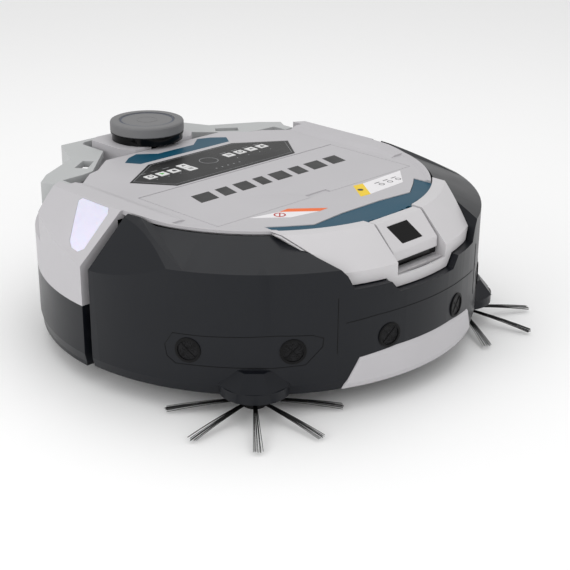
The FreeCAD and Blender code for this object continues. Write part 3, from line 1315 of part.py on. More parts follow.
def front_vent_trim():
    """The trim between the deck's nose and the visor, with a row of vents along its outer edge."""
    outer = "visor_inner - 0.3"
    foot_low = DECK_LOW + " - trim_foot"
    foot = overlap(cut(cylinder(outer, foot_low, DECK_LOW), cylinder("trim_inner", "0", "300")),
                   middle_box("trim_foot_half", "-body_radius", "-trim_inner * 0.6", "0", "300"))
    face = overlap(cut(cylinder(outer, DECK_LOW, TRIM_TOP), prism(deck_plan("fit_gap"), "0", "300")),
                   middle_box("trim_half - fit_gap", "-body_radius", "-trim_inner * 0.8", "0", "300"))
    vents = []
    for i in range(-5, 6):
        vent = fresh("Part::Box", "Vent")
        bind(vent, Length="vent_width", Width="vent_depth", Height="trim_foot + deck_thick + 2")
        vent.setExpression("Placement", full(
            "placement(vector(0; 0; %s - 1); rotationz(%d * vent_pitch)) * "
            "placement(vector(-vent_width / 2; -visor_inner + 0.8; 0); rotationz(0))" % (foot_low, i)))
        vents.append(vent)
    node("front_vent_trim", cut(fuse(foot, face), *vents))


def inlays():
    node("rear_trim", prism(rear_trim_outline(), "deck_height - inlay_sink", "deck_height + 0.2"))
    panel = prism(panel_outline(), "deck_height - inlay_sink", "deck_height + panel_proud")
    holes = []
    for key, x, y in KEYS:
        half = "(key_size / 2 + key_gap)"
        holes.append(box("%s - %s" % (x, half), "%s + %s" % (x, half), "%s - %s" % (y, half),
                         "%s + %s" % (y, half),
                         "deck_height - inlay_sink - 1", "deck_height + 2"))
    node("control_panel", cut(panel, *holes))
    for key, x, y in KEYS:
        half = "(key_size / 2)"
        top = box("%s - %s" % (x, half), "%s + %s" % (x, half), "%s - %s" % (y, half), "%s + %s" % (y, half),
                  "deck_height - inlay_sink + key_travel + 0.1", "deck_height + panel_proud + key_proud")
        stem = cylinder("1.1", "deck_height - inlay_sink - 2.5", "deck_height", x, y)
        node("key_%s" % key, fuse(top, stem))


# ---------------------------------------------------------------- scanner

def tower_plan(inset):
    return mirrored([("tower_half - tower_corner - %s * 0.4" % inset, "tower_front + %s" % inset),
                     ("tower_half - %s" % inset, "tower_front + tower_corner + %s * 0.4" % inset),
                     ("tower_half - %s" % inset, "tower_rear - 8 - %s * 0.4" % inset),
                     ("tower_half - tower_corner - %s * 0.4" % inset, "tower_rear - %s" % inset)])


def scanner():
    outer = prism(tower_plan("0"), "rear_height", "tower_height")
    inner = prism(tower_plan("shell_wall"), "rear_height - 1", "tower_height - shell_wall")
    hole = cylinder("tower_hole", "tower_height - 10", "tower_height + 1", 0, "scan_y")
    guides = []
    pins = []
    for i in range(3):
        x = "guide_reach * sin(%d * 1deg)" % (120 * i)
        y = "scan_y + guide_reach * cos(%d * 1deg)" % (120 * i)
        guides.append(cut(cylinder("guide_radius", "tower_height", "glass_top - 0.5", x, y),
                          cylinder("guide_pin + shaft_gap", "tower_height + 0.6", "glass_top + 1", x, y)))
        pins.append(cylinder("guide_pin", "cap_low - guide_pin_length", "cap_low + 1", x, y))
    node("lidar_tower", fuse(cut(outer, inner, hole), *guides))
    node("lidar_window", cut(cylinder("glass_radius", "tower_height", "glass_top", 0, "scan_y"),
                             cylinder("glass_radius - glass_wall", "tower_height - 1", "glass_top + 1", 0,
                                      "scan_y")))
    can = cylinder("scan_motor_radius", "rear_height", "scan_motor_top", 0, "scan_y")
    bore = cylinder("rotor_shaft + shaft_gap", "scan_motor_top - 10", "scan_motor_top + 1", 0, "scan_y")
    node("lidar_motor", cut(can, bore))
    disc = cylinder("rotor_radius", "rotor_low", "rotor_high", 0, "scan_y")
    notch = box("-9", "9", "scan_y - rotor_radius - 1", "scan_y - rotor_radius + 9", "rotor_low + 1.6",
                "rotor_high + 1")
    hub = cylinder("rotor_hub", "scan_motor_top + 1", "rotor_low + 1", 0, "scan_y")
    shaft = cylinder("rotor_shaft", "scan_motor_top - 8", "rotor_low", 0, "scan_y")
    node("lidar_rotor", fuse(cut(disc, notch), hub, shaft))
    dish = "cap_high - cap_dish_depth"
    profile = [("0", "cap_low"), ("cap_radius - 1", "cap_low"), ("cap_radius", "cap_low + 1"),
               ("cap_radius", "cap_high - cap_round"),
               ("cap_radius - cap_round * 0.3", "cap_high - cap_round * 0.3"),
               ("cap_radius - cap_round", "cap_high"), ("cap_dish", "cap_high"), ("cap_dish", dish),
               ("0", dish)]
    cap = turned(profile)
    place(cap, "0", "scan_y", "0")
    node("lidar_cap", fuse(cap, *pins))


# ---------------------------------------------------------------- handle

def handle_outline(rim):
    """Right-hand half of the handle's outline; rim moves its outer edge in."""
    move = " - %s" % rim
    return [("pivot_x + leg_width / 2" + move, "pivot_y"), ("pivot_x + leg_width / 2" + move, "138"),
            ("188" + move, "152"), ("167.5 - %s * 0.9" % rim, "171 - %s * 0.4" % rim),
            ("109 - %s * 0.6" % rim, "204 - %s * 0.8" % rim),
            ("84 - %s * 0.4" % rim, "bar_y + bar_thick" + move)]


def carry_handle():
    outer = mirrored(handle_outline("0"))
    slab = prism(outer, "handle_top - handle_thick", "handle_top")
    rim_low = "rear_height + handle_lift"
    rim = cut(prism(outer, rim_low, "handle_top"),
              prism(mirrored(handle_outline("handle_rim")[:-1] + [("84 - handle_rim * 0.4", "bar_y")]),
                    rim_low + " - 1",
                    "handle_top + 1"))
    hollow = prism(mirrored([("pivot_x - leg_width / 2", "pivot_y - 20"), ("pivot_x - leg_width / 2", "142"),
                             ("136", "143"), ("120", "147"), ("88", "178"), ("tower_half + 5", "203"),
                             ("tower_half + 5", "bar_y - 6"), ("tower_half - 2", "bar_y")]), "0", "300")
    windows = []
    for sign in ("", "-"):
        windows.append(prism([("%s128" % sign, "171"), ("%s104" % sign, "187"), ("%s96" % sign, "177"),
                              ("%s119" % sign, "159")], "0", "300"))
    frame = cut(fuse(slab, rim), hollow, *windows)
    front = box("-300", "300", "0", "pivot_y + 2", "0", "300")
    ends = []
    for name, sign in sides():
        near, far = span(sign, "pivot_x - leg_width / 2", "pivot_x + leg_width / 2")
        ends.append(rod("pivot_radius", near, far, "pivot_y", "pivot_z"))
        ends.append(box(near, far, "pivot_y", "pivot_y + 12", "pivot_z - 6", "handle_top"))
        pin_near, pin_far = span(sign, "pivot_x", "pivot_x + leg_width / 2 + notch_gap + 2.5")
        ends.append(rod("handle_pin", pin_near, pin_far, "pivot_y", "pivot_z"))
    node("carry_handle", fuse(cut(frame, front), *ends))


# ---------------------------------------------------------------- build and export

def check():
    """Refuse to write anything while an object is failed or a sub-part has no sound shape."""
    faults = [item.Name for item in DOC.Objects if "Invalid" in item.State or "Error" in item.State]
    for item in NODES:
        if item.Shape.isNull() or not item.Shape.isValid() or item.Shape.Volume < 1:
            faults.append(item.Label)
    if faults:
        raise RuntimeError("failed: " + ", ".join(faults))


def main():
    fill_sheet()
    base_chassis()
    chassis_screws()
    side_brushes()
    bumper()
    main_brush()
    for name, sign in sides():
        drive_wheel(name, sign)
    caster()
    dust_box()
    fan()
    batteries()
    main_board()
    rear_lower_shell()
    battery_cover()
    upper_shell()
    dust_lid()
    visor()
    camera_hood()
    front_vent_trim()
    inlays()
    scanner()
    carry_handle()
    DOC.recompute()
    check()
    os.makedirs("parts", exist_ok=True)
    for item in NODES:
        item.Shape.exportStep("parts/%s.step" % item.Label)
    print(len(NODES), "nodes")


main()
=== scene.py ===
# %% [markdown]
# # A robotic floor cleaner, finished in Blender
#
# The engineering model of this machine already exists: its shells, brushes, wheels and hinges arrive as a
# fixed frame, and nothing here moves or reshapes them. What is still missing is what the eye reads
# first: soft edges, moulded grain, bristles, glass, rubber, seams and printed marks. Each step below
# explains one of them, and then makes it.

# %% Load the fixed frame
import json
import math
import random

import bmesh
import bpy
from mathutils import Matrix, Vector

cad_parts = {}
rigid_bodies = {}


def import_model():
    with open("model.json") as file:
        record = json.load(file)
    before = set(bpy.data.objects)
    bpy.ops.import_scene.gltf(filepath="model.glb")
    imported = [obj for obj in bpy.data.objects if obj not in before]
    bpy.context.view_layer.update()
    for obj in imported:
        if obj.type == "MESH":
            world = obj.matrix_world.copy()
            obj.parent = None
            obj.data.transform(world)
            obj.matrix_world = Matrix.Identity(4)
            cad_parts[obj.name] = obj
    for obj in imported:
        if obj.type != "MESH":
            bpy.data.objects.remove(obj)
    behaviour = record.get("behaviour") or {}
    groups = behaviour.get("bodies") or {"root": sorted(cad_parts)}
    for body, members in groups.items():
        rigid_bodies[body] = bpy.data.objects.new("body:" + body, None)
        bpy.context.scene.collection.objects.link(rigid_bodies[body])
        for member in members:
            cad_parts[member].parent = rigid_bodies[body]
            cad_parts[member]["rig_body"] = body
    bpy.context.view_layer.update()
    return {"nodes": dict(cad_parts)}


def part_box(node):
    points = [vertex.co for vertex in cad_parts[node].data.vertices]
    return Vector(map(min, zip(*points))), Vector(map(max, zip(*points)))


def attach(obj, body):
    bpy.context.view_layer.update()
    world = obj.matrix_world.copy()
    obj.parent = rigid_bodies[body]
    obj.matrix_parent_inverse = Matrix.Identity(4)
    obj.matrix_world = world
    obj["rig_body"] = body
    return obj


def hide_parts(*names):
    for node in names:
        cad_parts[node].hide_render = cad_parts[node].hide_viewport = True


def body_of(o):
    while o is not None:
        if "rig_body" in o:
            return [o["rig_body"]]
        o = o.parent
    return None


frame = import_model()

nodes = frame["nodes"]
print("pieces in the frame:", len(nodes))

# %% [markdown]
# ## The camera
#
# A long lens, about 79 mm on a full-frame sensor, keeps the round body from looking stretched. The camera
# stands about 1.4 metres away, to the left of the machine's nose, and looks down on it by 22 degrees. The
# turns are applied in the order a photographer would: face the heading, tip down, and then the slight
# roll of the tripod.

# %% Camera
CAMERA_PLACE = Vector((-0.936, -0.9662, 0.5929))
HEADING, TIP, ROLL = 0.7926, 0.3899, 0.0091
SENSOR_MM, LENS_MM = 36, 78.77
camera = bpy.data.objects.new("camera", bpy.data.cameras.new("camera"))
bpy.context.scene.collection.objects.link(camera)
camera.data.sensor_width = SENSOR_MM
camera.data.lens = LENS_MM
camera.matrix_world = (Matrix.Translation(CAMERA_PLACE) @ Matrix.Rotation(-HEADING, 4, "Z")
                       @ Matrix.Rotation(math.pi / 2 - TIP, 4, "X") @ Matrix.Rotation(ROLL, 4, "Z"))
bpy.context.scene.camera = camera

# %% [markdown]
# ## Light and floor
#
# Grey plastic looks grey only when the room round it is bright and even, so the world is a plain white. A
# large soft lamp above lights the deck, one in front shapes the sloping band of the bumper, and one from
# the left brightens the side wall. Big lamps give the soft-edged reflections of a studio tent; small ones
# would leave hard spots.

# %% Helpers for colour and for nodes
def linear(code):
    """An sRGB hex colour as linear red, green, blue and alpha."""
    parts = [int(code[i:i + 2], 16) / 255 for i in (1, 3, 5)]
    return [p / 12.92 if p <= 0.04045 else ((p + 0.055) / 1.055) ** 2.4 for p in parts] + [1.0]


def add_node(tree, kind, inputs=None, **settings):
    """Add a shader node: settings are its own options, and inputs are values or the sockets that feed it."""
    node = tree.nodes.new(kind)
    for name, value in settings.items():
        setattr(node, name, value)
    for name, value in (inputs or {}).items():
        if isinstance(value, bpy.types.NodeSocket):
            tree.links.new(value, node.inputs[name])
        else:
            node.inputs[name].default_value = value
    return node


# %% World, lamps and floor
scene = bpy.context.scene
scene.view_settings.view_transform = "Standard"
world = bpy.data.worlds.new("studio_tent")
world.use_nodes = True
backdrop = world.node_tree.nodes["Background"]
backdrop.inputs["Color"].default_value = linear("#ffffff")
backdrop.inputs["Strength"].default_value = 0.75
scene.world = world


LAMP_TARGET = Vector((0, 0, 0.1))


def soft_lamp(name, place, size, power):
    """A square studio lamp that faces the machine."""
    lamp = bpy.data.objects.new(name, bpy.data.lights.new(name, "AREA"))
    lamp.data.shape, lamp.data.size, lamp.data.energy = "SQUARE", size, power
    scene.collection.objects.link(lamp)
    lamp.location = place
    lamp.rotation_euler = (LAMP_TARGET - Vector(place)).to_track_quat("-Z", "Y").to_euler()


soft_lamp("overhead_tent", (0.2, 0.2, 1.8), size=1.6, power=7)
soft_lamp("front_tent", (-0.3, -1.7, 0.9), size=1.0, power=4)
soft_lamp("left_tent", (-1.7, -0.2, 0.7), size=0.9, power=7)

FLOOR_SIZE = 6.0
FLOOR_GAP = 0.0005
floor_mesh = bmesh.new()
bmesh.ops.create_grid(floor_mesh, x_segments=1, y_segments=1, size=FLOOR_SIZE)
floor_data = bpy.data.meshes.new("studio_floor")
floor_mesh.to_mesh(floor_data)
floor_mesh.free()
studio_floor = bpy.data.objects.new("studio_floor", floor_data)
scene.collection.objects.link(studio_floor)
studio_floor.location.z = -FLOOR_GAP
floor_paint = bpy.data.materials.new("matt_white_floor")
floor_paint.use_nodes = True
floor_shader = floor_paint.node_tree.nodes["Principled BSDF"]
floor_shader.inputs["Base Color"].default_value = linear("#ffffff")
floor_shader.inputs["Roughness"].default_value = 0.9
floor_data.materials.append(floor_paint)

# %% [markdown]
# ## Plastics
#
# Nearly everything outside is ABS, a hard plastic that is injected hot into a polished or spark-eroded
# steel mould. The erosion leaves a grain of about a millimetre that kills sharp reflections, and cooling
# leaves a slow drift in tone and gloss across each moulding. Both are mixed from noise at their true
# sizes, so no shell is one flat colour.

# %% Moulded plastic
MM = 0.001
ABS_IOR = 1.53
GLOSS_DRIFT = 0.04


def new_material(name):
    """A material with its tree, its shader and the object coordinates ready to use."""
    material = bpy.data.materials.new(name)
    material.use_nodes = True
    tree = material.node_tree
    place = add_node(tree, "ShaderNodeTexCoord").outputs["Object"]
    return material, tree, tree.nodes["Principled BSDF"], place


def noise(tree, place, scale, detail):
    """Noise over the object's own coordinates, from 0 to 1."""
    texture = add_node(tree, "ShaderNodeTexNoise", {"Vector": place, "Scale": scale, "Detail": detail})
    return texture.outputs["Fac"]


# A mix node has one set of sockets for each kind of data, so its colour sockets are found by number.
MIX_FROM, MIX_TO, MIX_RESULT = 6, 7, 2


def two_tones(tree, shader, factor, dark, light):
    """Colour the shader between two hex colours, and return the mixed colour."""
    tone = add_node(tree, "ShaderNodeMix", {"Factor": factor, MIX_FROM: linear(dark), MIX_TO: linear(light)},
                    data_type="RGBA")
    tree.links.new(tone.outputs[MIX_RESULT], shader.inputs["Base Color"])
    return tone.outputs[MIX_RESULT]


def gloss_range(tree, shader, factor, low, high, span=(0.0, 1.0)):
    """Let the shader's roughness run from low to high while a factor crosses its span."""
    gloss = add_node(tree, "ShaderNodeMapRange", {"Value": factor, "From Min": span[0], "From Max": span[1],
                                                  "To Min": low, "To Max": high})
    tree.links.new(gloss.outputs["Result"], shader.inputs["Roughness"])


def bump_from(tree, shader, height, depth_mm):
    """Raise the surface by a height signal of a given depth."""
    bump = add_node(tree, "ShaderNodeBump", {"Height": height, "Distance": depth_mm * MM})
    tree.links.new(bump.outputs["Normal"], shader.inputs["Normal"])


def grain_bump(tree, shader, place, grain_mm, depth_mm):
    """Fine bumps of a given spacing and depth."""
    bump_from(tree, shader, noise(tree, place, 1 / (grain_mm * MM), 2.0), depth_mm)


def moulded_plastic(name, light, dark, roughness, grain_mm=1.1, grain_depth_mm=0.03, patch_mm=60.0,
                    gleam=0.5):
    """Injection-moulded plastic with a spark-eroded grain and a slow drift in tone and gloss."""
    material, tree, shader, place = new_material(name)
    drift = noise(tree, place, 1 / (patch_mm * MM), 3.0)
    two_tones(tree, shader, drift, dark, light)
    gloss_range(tree, shader, drift, roughness - GLOSS_DRIFT, roughness + GLOSS_DRIFT, span=(0.3, 0.7))
    grain_bump(tree, shader, place, grain_mm, grain_depth_mm)
    shader.inputs["IOR"].default_value = ABS_IOR
    shader.inputs["Specular IOR Level"].default_value = gleam
    return material


# Pale ABS: reads as the calm, satin outside of the machine.
light_grey_abs = moulded_plastic("light_grey_abs", "#bcbabd", "#b4b2b5", 0.46)
visor_grey_abs = moulded_plastic("visor_grey_abs", "#cbc9cb", "#c4c2c4", 0.44)
handle_abs = moulded_plastic("handle_abs", "#b7b9b9", "#afb1b1", 0.5)
# Charcoal ABS: keeps a soft sheen along the bumper's band.
charcoal_abs = moulded_plastic("charcoal_abs", "#15171c", "#111318", 0.32, gleam=0.22)
teal_abs = moulded_plastic("teal_abs", "#0a4b62", "#08445a", 0.38, gleam=0.15)
panel_black = moulded_plastic("panel_black", "#070708", "#050506", 0.28, gleam=0.1)
cap_grey = moulded_plastic("cap_grey", "#777778", "#6f6f70", 0.62, grain_mm=1.6, grain_depth_mm=0.05)
# Unpainted nylon of the inner works: swallows light inside gaps.
inner_black = moulded_plastic("inner_black", "#0a0a0b", "#070708", 0.5, gleam=0.15)
key_white = moulded_plastic("key_white", "#e2e2e2", "#d8d8d8", 0.4)
print("plastics:", len(bpy.data.materials))

# %% [markdown]
# ## Lamps, glass, rubber, steel and paper
#
# The side lamps are opal polycarbonate: light scatters inside them, so they look faintly violet and a
# little lighter toward their foot. The scanner window is a dark, polished infrared glass. Tyres are
# moulded rubber with ribs across the tread, the springs are drawn steel wire, and the labels are printed
# film.

# %% Other materials
LAMP_FOOT_Z, LAMP_HEAD_Z = 0.125, 0.18
AXLE_Z = 42 * MM


def opal_lens(name, upper, lower):
    """Opal polycarbonate that grows lighter toward its foot."""
    material, tree, shader, place = new_material(name)
    axes = add_node(tree, "ShaderNodeSeparateXYZ", {"Vector": place})
    height = add_node(tree, "ShaderNodeMapRange", {"Value": axes.outputs["Z"], "From Min": LAMP_FOOT_Z,
                                                   "From Max": LAMP_HEAD_Z})
    cloud = noise(tree, place, 60.0, 2.0)
    blend = add_node(tree, "ShaderNodeMath", {0: height.outputs["Result"], 1: cloud}, operation="MULTIPLY")
    tone = two_tones(tree, shader, blend.outputs[0], lower, upper)
    tree.links.new(tone, shader.inputs["Emission Color"])
    shader.inputs["Emission Strength"].default_value = 0.06
    shader.inputs["Roughness"].default_value = 0.32
    shader.inputs["Subsurface Weight"].default_value = 0.3
    shader.inputs["Subsurface Scale"].default_value = 3 * MM
    grain_bump(tree, shader, place, grain_mm=6.0, depth_mm=0.02)
    return material


def dark_glass(name, colour, roughness):
    """Infrared glass: nearly black, with faint polishing streaks in its gloss."""
    material, tree, shader, place = new_material(name)
    streak = noise(tree, place, 180.0, 4.0)
    gloss_range(tree, shader, streak, roughness * 0.6, roughness * 1.4)
    two_tones(tree, shader, streak, colour, "#020202")
    shader.inputs["Specular IOR Level"].default_value = 0.2
    return material


def ribbed_rubber(name, ribs):
    """Tyre rubber: ribs across the tread, counted round the axle, and a dusty tone."""
    material, tree, shader, place = new_material(name)
    axes = add_node(tree, "ShaderNodeSeparateXYZ", {"Vector": place})
    up = add_node(tree, "ShaderNodeMath", {0: axes.outputs["Z"], 1: AXLE_Z}, operation="SUBTRACT")
    angle = add_node(tree, "ShaderNodeMath", {0: up.outputs[0], 1: axes.outputs["Y"]}, operation="ARCTAN2")
    phase = add_node(tree, "ShaderNodeMath", {0: angle.outputs[0], 1: float(ribs)}, operation="MULTIPLY")
    wave = add_node(tree, "ShaderNodeMath", {0: phase.outputs[0]}, operation="SINE")
    bump_from(tree, shader, wave.outputs[0], 0.8)
    two_tones(tree, shader, noise(tree, place, 120.0, 4.0), "#141414", "#232323")
    shader.inputs["Roughness"].default_value = 0.8
    return material


def drawn_steel(name):
    """Spring wire: bright steel with a fine drawing grain."""
    material, tree, shader, place = new_material(name)
    grain = noise(tree, place, 900.0, 3.0)
    gloss_range(tree, shader, grain, 0.2, 0.45)
    two_tones(tree, shader, grain, "#8e8f92", "#b4b5b8")
    shader.inputs["Metallic"].default_value = 1.0
    return material


def printed_film(name, light, dark):
    """Printed label film: an even ink with a slight orange-peel sheen."""
    return moulded_plastic(name, light, dark, 0.38, grain_mm=0.5, grain_depth_mm=0.006, patch_mm=18.0,
                           gleam=0.25)


def sensor_mesh(name):
    """Perforated guard over a distance sensor: scattered dark holes about a millimetre apart, with painted
    shade in them.
    """
    material, tree, shader, place = new_material(name)
    cells = add_node(tree, "ShaderNodeTexVoronoi", {"Vector": place, "Scale": 1 / (1.3 * MM)}, feature="F1")
    hole = add_node(tree, "ShaderNodeMapRange", {"Value": cells.outputs["Distance"], "From Min": 0.25,
                                                 "From Max": 0.5})
    # The near-black of the holes is partly the dark sensor behind them and partly painted shade inside the
    # holes.
    two_tones(tree, shader, hole.outputs["Result"], "#020202", "#161618")
    bump_from(tree, shader, hole.outputs["Result"], 0.3)
    shader.inputs["Roughness"].default_value = 0.35
    shader.inputs["Specular IOR Level"].default_value = 0.15
    return material


lamp_opal = opal_lens("lamp_opal", "#cfcde0", "#dedcec")
scanner_glass = dark_glass("scanner_glass", "#08080a", 0.1)
camera_glass = dark_glass("camera_glass", "#060607", 0.14)
tyre_rubber = ribbed_rubber("tyre_rubber", 36)
spring_steel = drawn_steel("spring_steel")
sensor_guard = sensor_mesh("sensor_guard")
bristle_nylon = moulded_plastic("bristle_nylon", "#0c0c0d", "#060607", 0.36, grain_mm=3.0, patch_mm=9.0,
                                gleam=0.3)
board_green = moulded_plastic("board_green", "#1c5b39", "#174d30", 0.4, grain_mm=2.0, patch_mm=12.0)
filter_paper = moulded_plastic("filter_paper", "#d9d6cc", "#cbc7bb", 0.9, grain_mm=0.6, grain_depth_mm=0.1)
ink_white = printed_film("ink_white", "#eceaec", "#e2e0e2")
ink_orange = printed_film("ink_orange", "#ee6a1c", "#e46216")
ink_yellow = printed_film("ink_yellow", "#f2ce08", "#e8c404")
ink_red = printed_film("ink_red", "#b8231c", "#ab1d17")
ink_black = printed_film("ink_black", "#0c0c0e", "#09090a")
ink_green = printed_film("ink_green", "#43b02a", "#3aa423")
ink_grey = printed_film("ink_grey", "#8b8c8e", "#808183")
print("materials:", len(bpy.data.materials))

# %% [markdown]
# ## Materials for the fixed pieces
#
# Each fixed piece gets the material it would be ordered in. Those that are finished below hand their
# material on to the piece that takes their place.

# %% Give every fixed piece its material
finish = {
    "upper_shell": light_grey_abs, "dust_lid": light_grey_abs, "lidar_tower": light_grey_abs,
    "camera_hood": visor_grey_abs, "visor": visor_grey_abs, "front_chin": light_grey_abs,
    "bumper_shell": charcoal_abs, "rear_lower_shell": charcoal_abs, "base_chassis": charcoal_abs,
    "battery_cover": charcoal_abs, "front_vent_trim": teal_abs, "rear_trim": teal_abs,
    "control_panel": panel_black, "lidar_cap": cap_grey, "lidar_window": scanner_glass,
    "camera_window": camera_glass, "side_lamp_left": lamp_opal, "side_lamp_right": lamp_opal,
    "carry_handle": handle_abs, "bumper_springs": spring_steel, "sonar_discs": sensor_guard,
    "tyre_left": tyre_rubber, "tyre_right": tyre_rubber, "main_board": board_green,
    "hepa_filter": filter_paper, "chassis_screws": spring_steel, "battery_left": teal_abs,
    "battery_right": teal_abs,
}
for name, node in nodes.items():
    if name.startswith("key_"):
        finish[name] = key_white
    elif "tufts" in name or "bristle" in name:
        finish[name] = bristle_nylon
    node.data.materials.clear()
    node.data.materials.append(finish.setdefault(name, inner_black))

# %% [markdown]
# ## Softened edges
#
# A moulded edge is never sharp: the mould-maker rounds it by half a millimetre or more so that the
# plastic flows, and that small radius is what catches a line of light. Each visible moulding is copied
# from its fixed piece, flat neighbours are joined into whole faces, and every real corner gets the radius
# of its moulding.

# %% Copy a fixed piece and round its edges
CREASE = math.radians(14)
FLAT = math.radians(0.6)
WELD = 0.02 * MM
KEY_EDGE_MM = 0.35


def body_name(node_name):
    """The body that a fixed piece belongs to."""
    return body_of(nodes[node_name])[0]


def settle(name, work, body, material, smooth=True):
    """Turn finished geometry into a piece that rides on a body."""
    bmesh.ops.recalc_face_normals(work, faces=work.faces)
    for face in work.faces:
        face.smooth = smooth
    data = bpy.data.meshes.new(name)
    work.to_mesh(data)
    work.free()
    data.materials.append(material)
    if smooth:
        data.set_sharp_from_angle(angle=CREASE * 2)
    piece = bpy.data.objects.new(name, data)
    scene.collection.objects.link(piece)
    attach(piece, body)
    return piece


def rounded(name, width_mm):
    """A copy of a fixed piece with its edges rounded."""
    node = nodes[name]
    work = bmesh.new()
    work.from_mesh(node.data)
    work.transform(node.matrix_world)
    bmesh.ops.remove_doubles(work, verts=work.verts, dist=WELD)
    bmesh.ops.dissolve_limit(work, angle_limit=FLAT, verts=work.verts, edges=work.edges)
    piece = settle("moulded_" + name, work, body_name(name), finish[name])
    piece.data.set_sharp_from_angle(angle=CREASE)
    bevel = piece.modifiers.new("edge_radius", "BEVEL")
    bevel.width = width_mm * MM
    bevel.segments = 3 if width_mm > 0.5 else 2
    bevel.limit_method = "ANGLE"
    bevel.angle_limit = CREASE
    bevel.harden_normals = True
    bevel.use_clamp_overlap = True
    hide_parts(name)


EDGES_MM = {
    "upper_shell": 0.9, "bumper_shell": 0.9, "visor": 1.3, "camera_hood": 1.6, "front_chin": 0.8,
    "dust_lid": 0.35, "lidar_tower": 1.2, "carry_handle": 1.4, "rear_lower_shell": 0.5, "battery_cover": 0.6,
    "front_vent_trim": 0.4, "rear_trim": 0.15, "control_panel": 0.2, "lidar_cap": 0.5, "side_lamp_left": 0.5,
    "side_lamp_right": 0.5, "sonar_bezels": 0.35, "camera_window": 0.2,
}
for name, width_mm in EDGES_MM.items():
    rounded(name, width_mm)
for name in [n for n in nodes if n.startswith("key_")]:
    rounded(name, KEY_EDGE_MM)
print("meshes so far:", len(bpy.data.meshes))

# %% [markdown]
# ## Sides of the visor
#
# The visor is a thin moulding, but its side edges turn down into the bumper's opening, so that nobody
# sees behind it. That turned-down wall follows the visor's slope and crease. It is a small grid, bent to
# the visor's profile, and then given the thickness of the moulding.

# %% Turned-down walls beside the visor
BRIM_R, BRIM_Z, BRIM_HALF = 208.3, 177.0, 127.5
FACE_R, CREASE_Z, CREASE_HALF = 241.4, 145.0, 100
FOOT_Z, FOOT_HALF = 131.5, 93
CREASE_PART = 0.75
WALL_DEPTH, WALL_THICK, WALL_INSET, WALL_DROP = 12, 1.6, 0.3, 1.2


def visor_edge(part):
    """Half width, radius and height on the visor's side edge, from its brim (0) to its foot (1)."""
    if part < CREASE_PART:
        along = part / CREASE_PART
        return (BRIM_HALF + (CREASE_HALF - BRIM_HALF) * along, BRIM_R + (FACE_R - BRIM_R) * along,
                BRIM_Z + (CREASE_Z - BRIM_Z) * along)
    along = (part - CREASE_PART) / (1 - CREASE_PART)
    return CREASE_HALF + (FOOT_HALF - CREASE_HALF) * along, FACE_R, CREASE_Z + (FOOT_Z - CREASE_Z) * along


for side_name, side in (("left", -1), ("right", 1)):
    work = bmesh.new()
    bmesh.ops.create_grid(work, x_segments=16, y_segments=2, size=0.5)
    for vert in work.verts:
        half, radius, height = visor_edge(vert.co.x + 0.5)
        depth = (vert.co.y + 0.5) * WALL_DEPTH
        front = math.sqrt(radius ** 2 - half ** 2)
        vert.co = Vector((side * (half - WALL_INSET), depth + WALL_DROP - front, height - WALL_DROP)) * MM
    turned_wall = settle("visor_side_" + side_name, work, body_name("visor"), visor_grey_abs)
    wall = turned_wall.modifiers.new("wall", "SOLIDIFY")
    wall.thickness = WALL_THICK * MM
    wall.offset = side
print("visor sides: 2")

# %% [markdown]
# ## Side brushes
#
# A side brush is a moulded star of eight tufts. Each tuft is a bundle of nylon filaments, pressed
# together at the hub and fanning out toward the tip, where they bend down until they sweep the floor. A
# cone cannot show that, so every filament is its own slim, curved rod.

# %% Fanned filaments
random.seed(7)


def filament(work, start, end, thick_mm, sag_mm=0.0, cuts=4):
    """A tapered rod from start to end that sags on its way, or arches where the sag is negative."""
    reach = end - start
    before = len(work.verts)
    bmesh.ops.create_cone(work, segments=5, radius1=thick_mm * MM * 0.5, radius2=thick_mm * MM * 0.36,
                          depth=reach.length, cap_ends=True)
    work.verts.ensure_lookup_table()
    long_edges = [e for e in {e for v in work.verts[before:] for e in v.link_edges}
                  if abs(e.verts[0].co.z - e.verts[1].co.z) > reach.length * 0.5]
    bmesh.ops.subdivide_edges(work, edges=long_edges, cuts=cuts)
    work.verts.ensure_lookup_table()
    turn = reach.to_track_quat("Z", "Y").to_matrix().to_4x4()
    for vert in work.verts[before:]:
        along = vert.co.z / reach.length + 0.5
        vert.co = Matrix.Translation(start + reach / 2) @ turn @ vert.co
        vert.co.z -= sag_mm * MM * along * (1 - along) * 4


TUFTS, STRANDS_ACROSS, LAYERS = 8, 7, 2
ROOT_R, ROOT_Z, ROOT_STEP, LAYER_STEP = 8, 13.2, 1.3, 1.1
TIP_R, TIP_Z, TIP_LAYER_STEP, ROUNDING = 90.4, 3.6, 1.2, 1.6
FAN_DEGREES, STRAY = 3.0, 0.6


def side_brush(side, first_turn):
    """Eight fans of filaments round a side brush's hub."""
    low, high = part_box("side_brush_%s_hub" % side)
    middle = Vector(((low[0] + high[0]) / 2, (low[1] + high[1]) / 2, 0))
    work = bmesh.new()
    for tuft in range(TUFTS):
        turn = math.radians(first_turn + 360 / TUFTS * tuft)
        for strand in range(STRANDS_ACROSS * LAYERS):
            layer, column = divmod(strand, STRANDS_ACROSS)
            across = (column - 3) / 3
            fan = turn + math.radians(FAN_DEGREES * across + random.uniform(-STRAY, STRAY))
            aside = across * ROOT_STEP
            root = middle + Vector((ROOT_R * math.cos(turn) - aside * math.sin(turn),
                                    ROOT_R * math.sin(turn) + aside * math.cos(turn),
                                    ROOT_Z + layer * LAYER_STEP)) * MM
            reach = TIP_R - ROUNDING * abs(across) - random.uniform(0, ROUNDING)
            tip = middle + Vector((reach * math.cos(fan), reach * math.sin(fan),
                                   TIP_Z + layer * TIP_LAYER_STEP + random.uniform(-STRAY, STRAY))) * MM
            filament(work, root, tip, 0.75, sag_mm=-1.2)
    tufts = "side_brush_%s_tufts" % side
    piece = settle("filaments_" + side, work, body_name(tufts), bristle_nylon)
    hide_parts(tufts)
    return piece


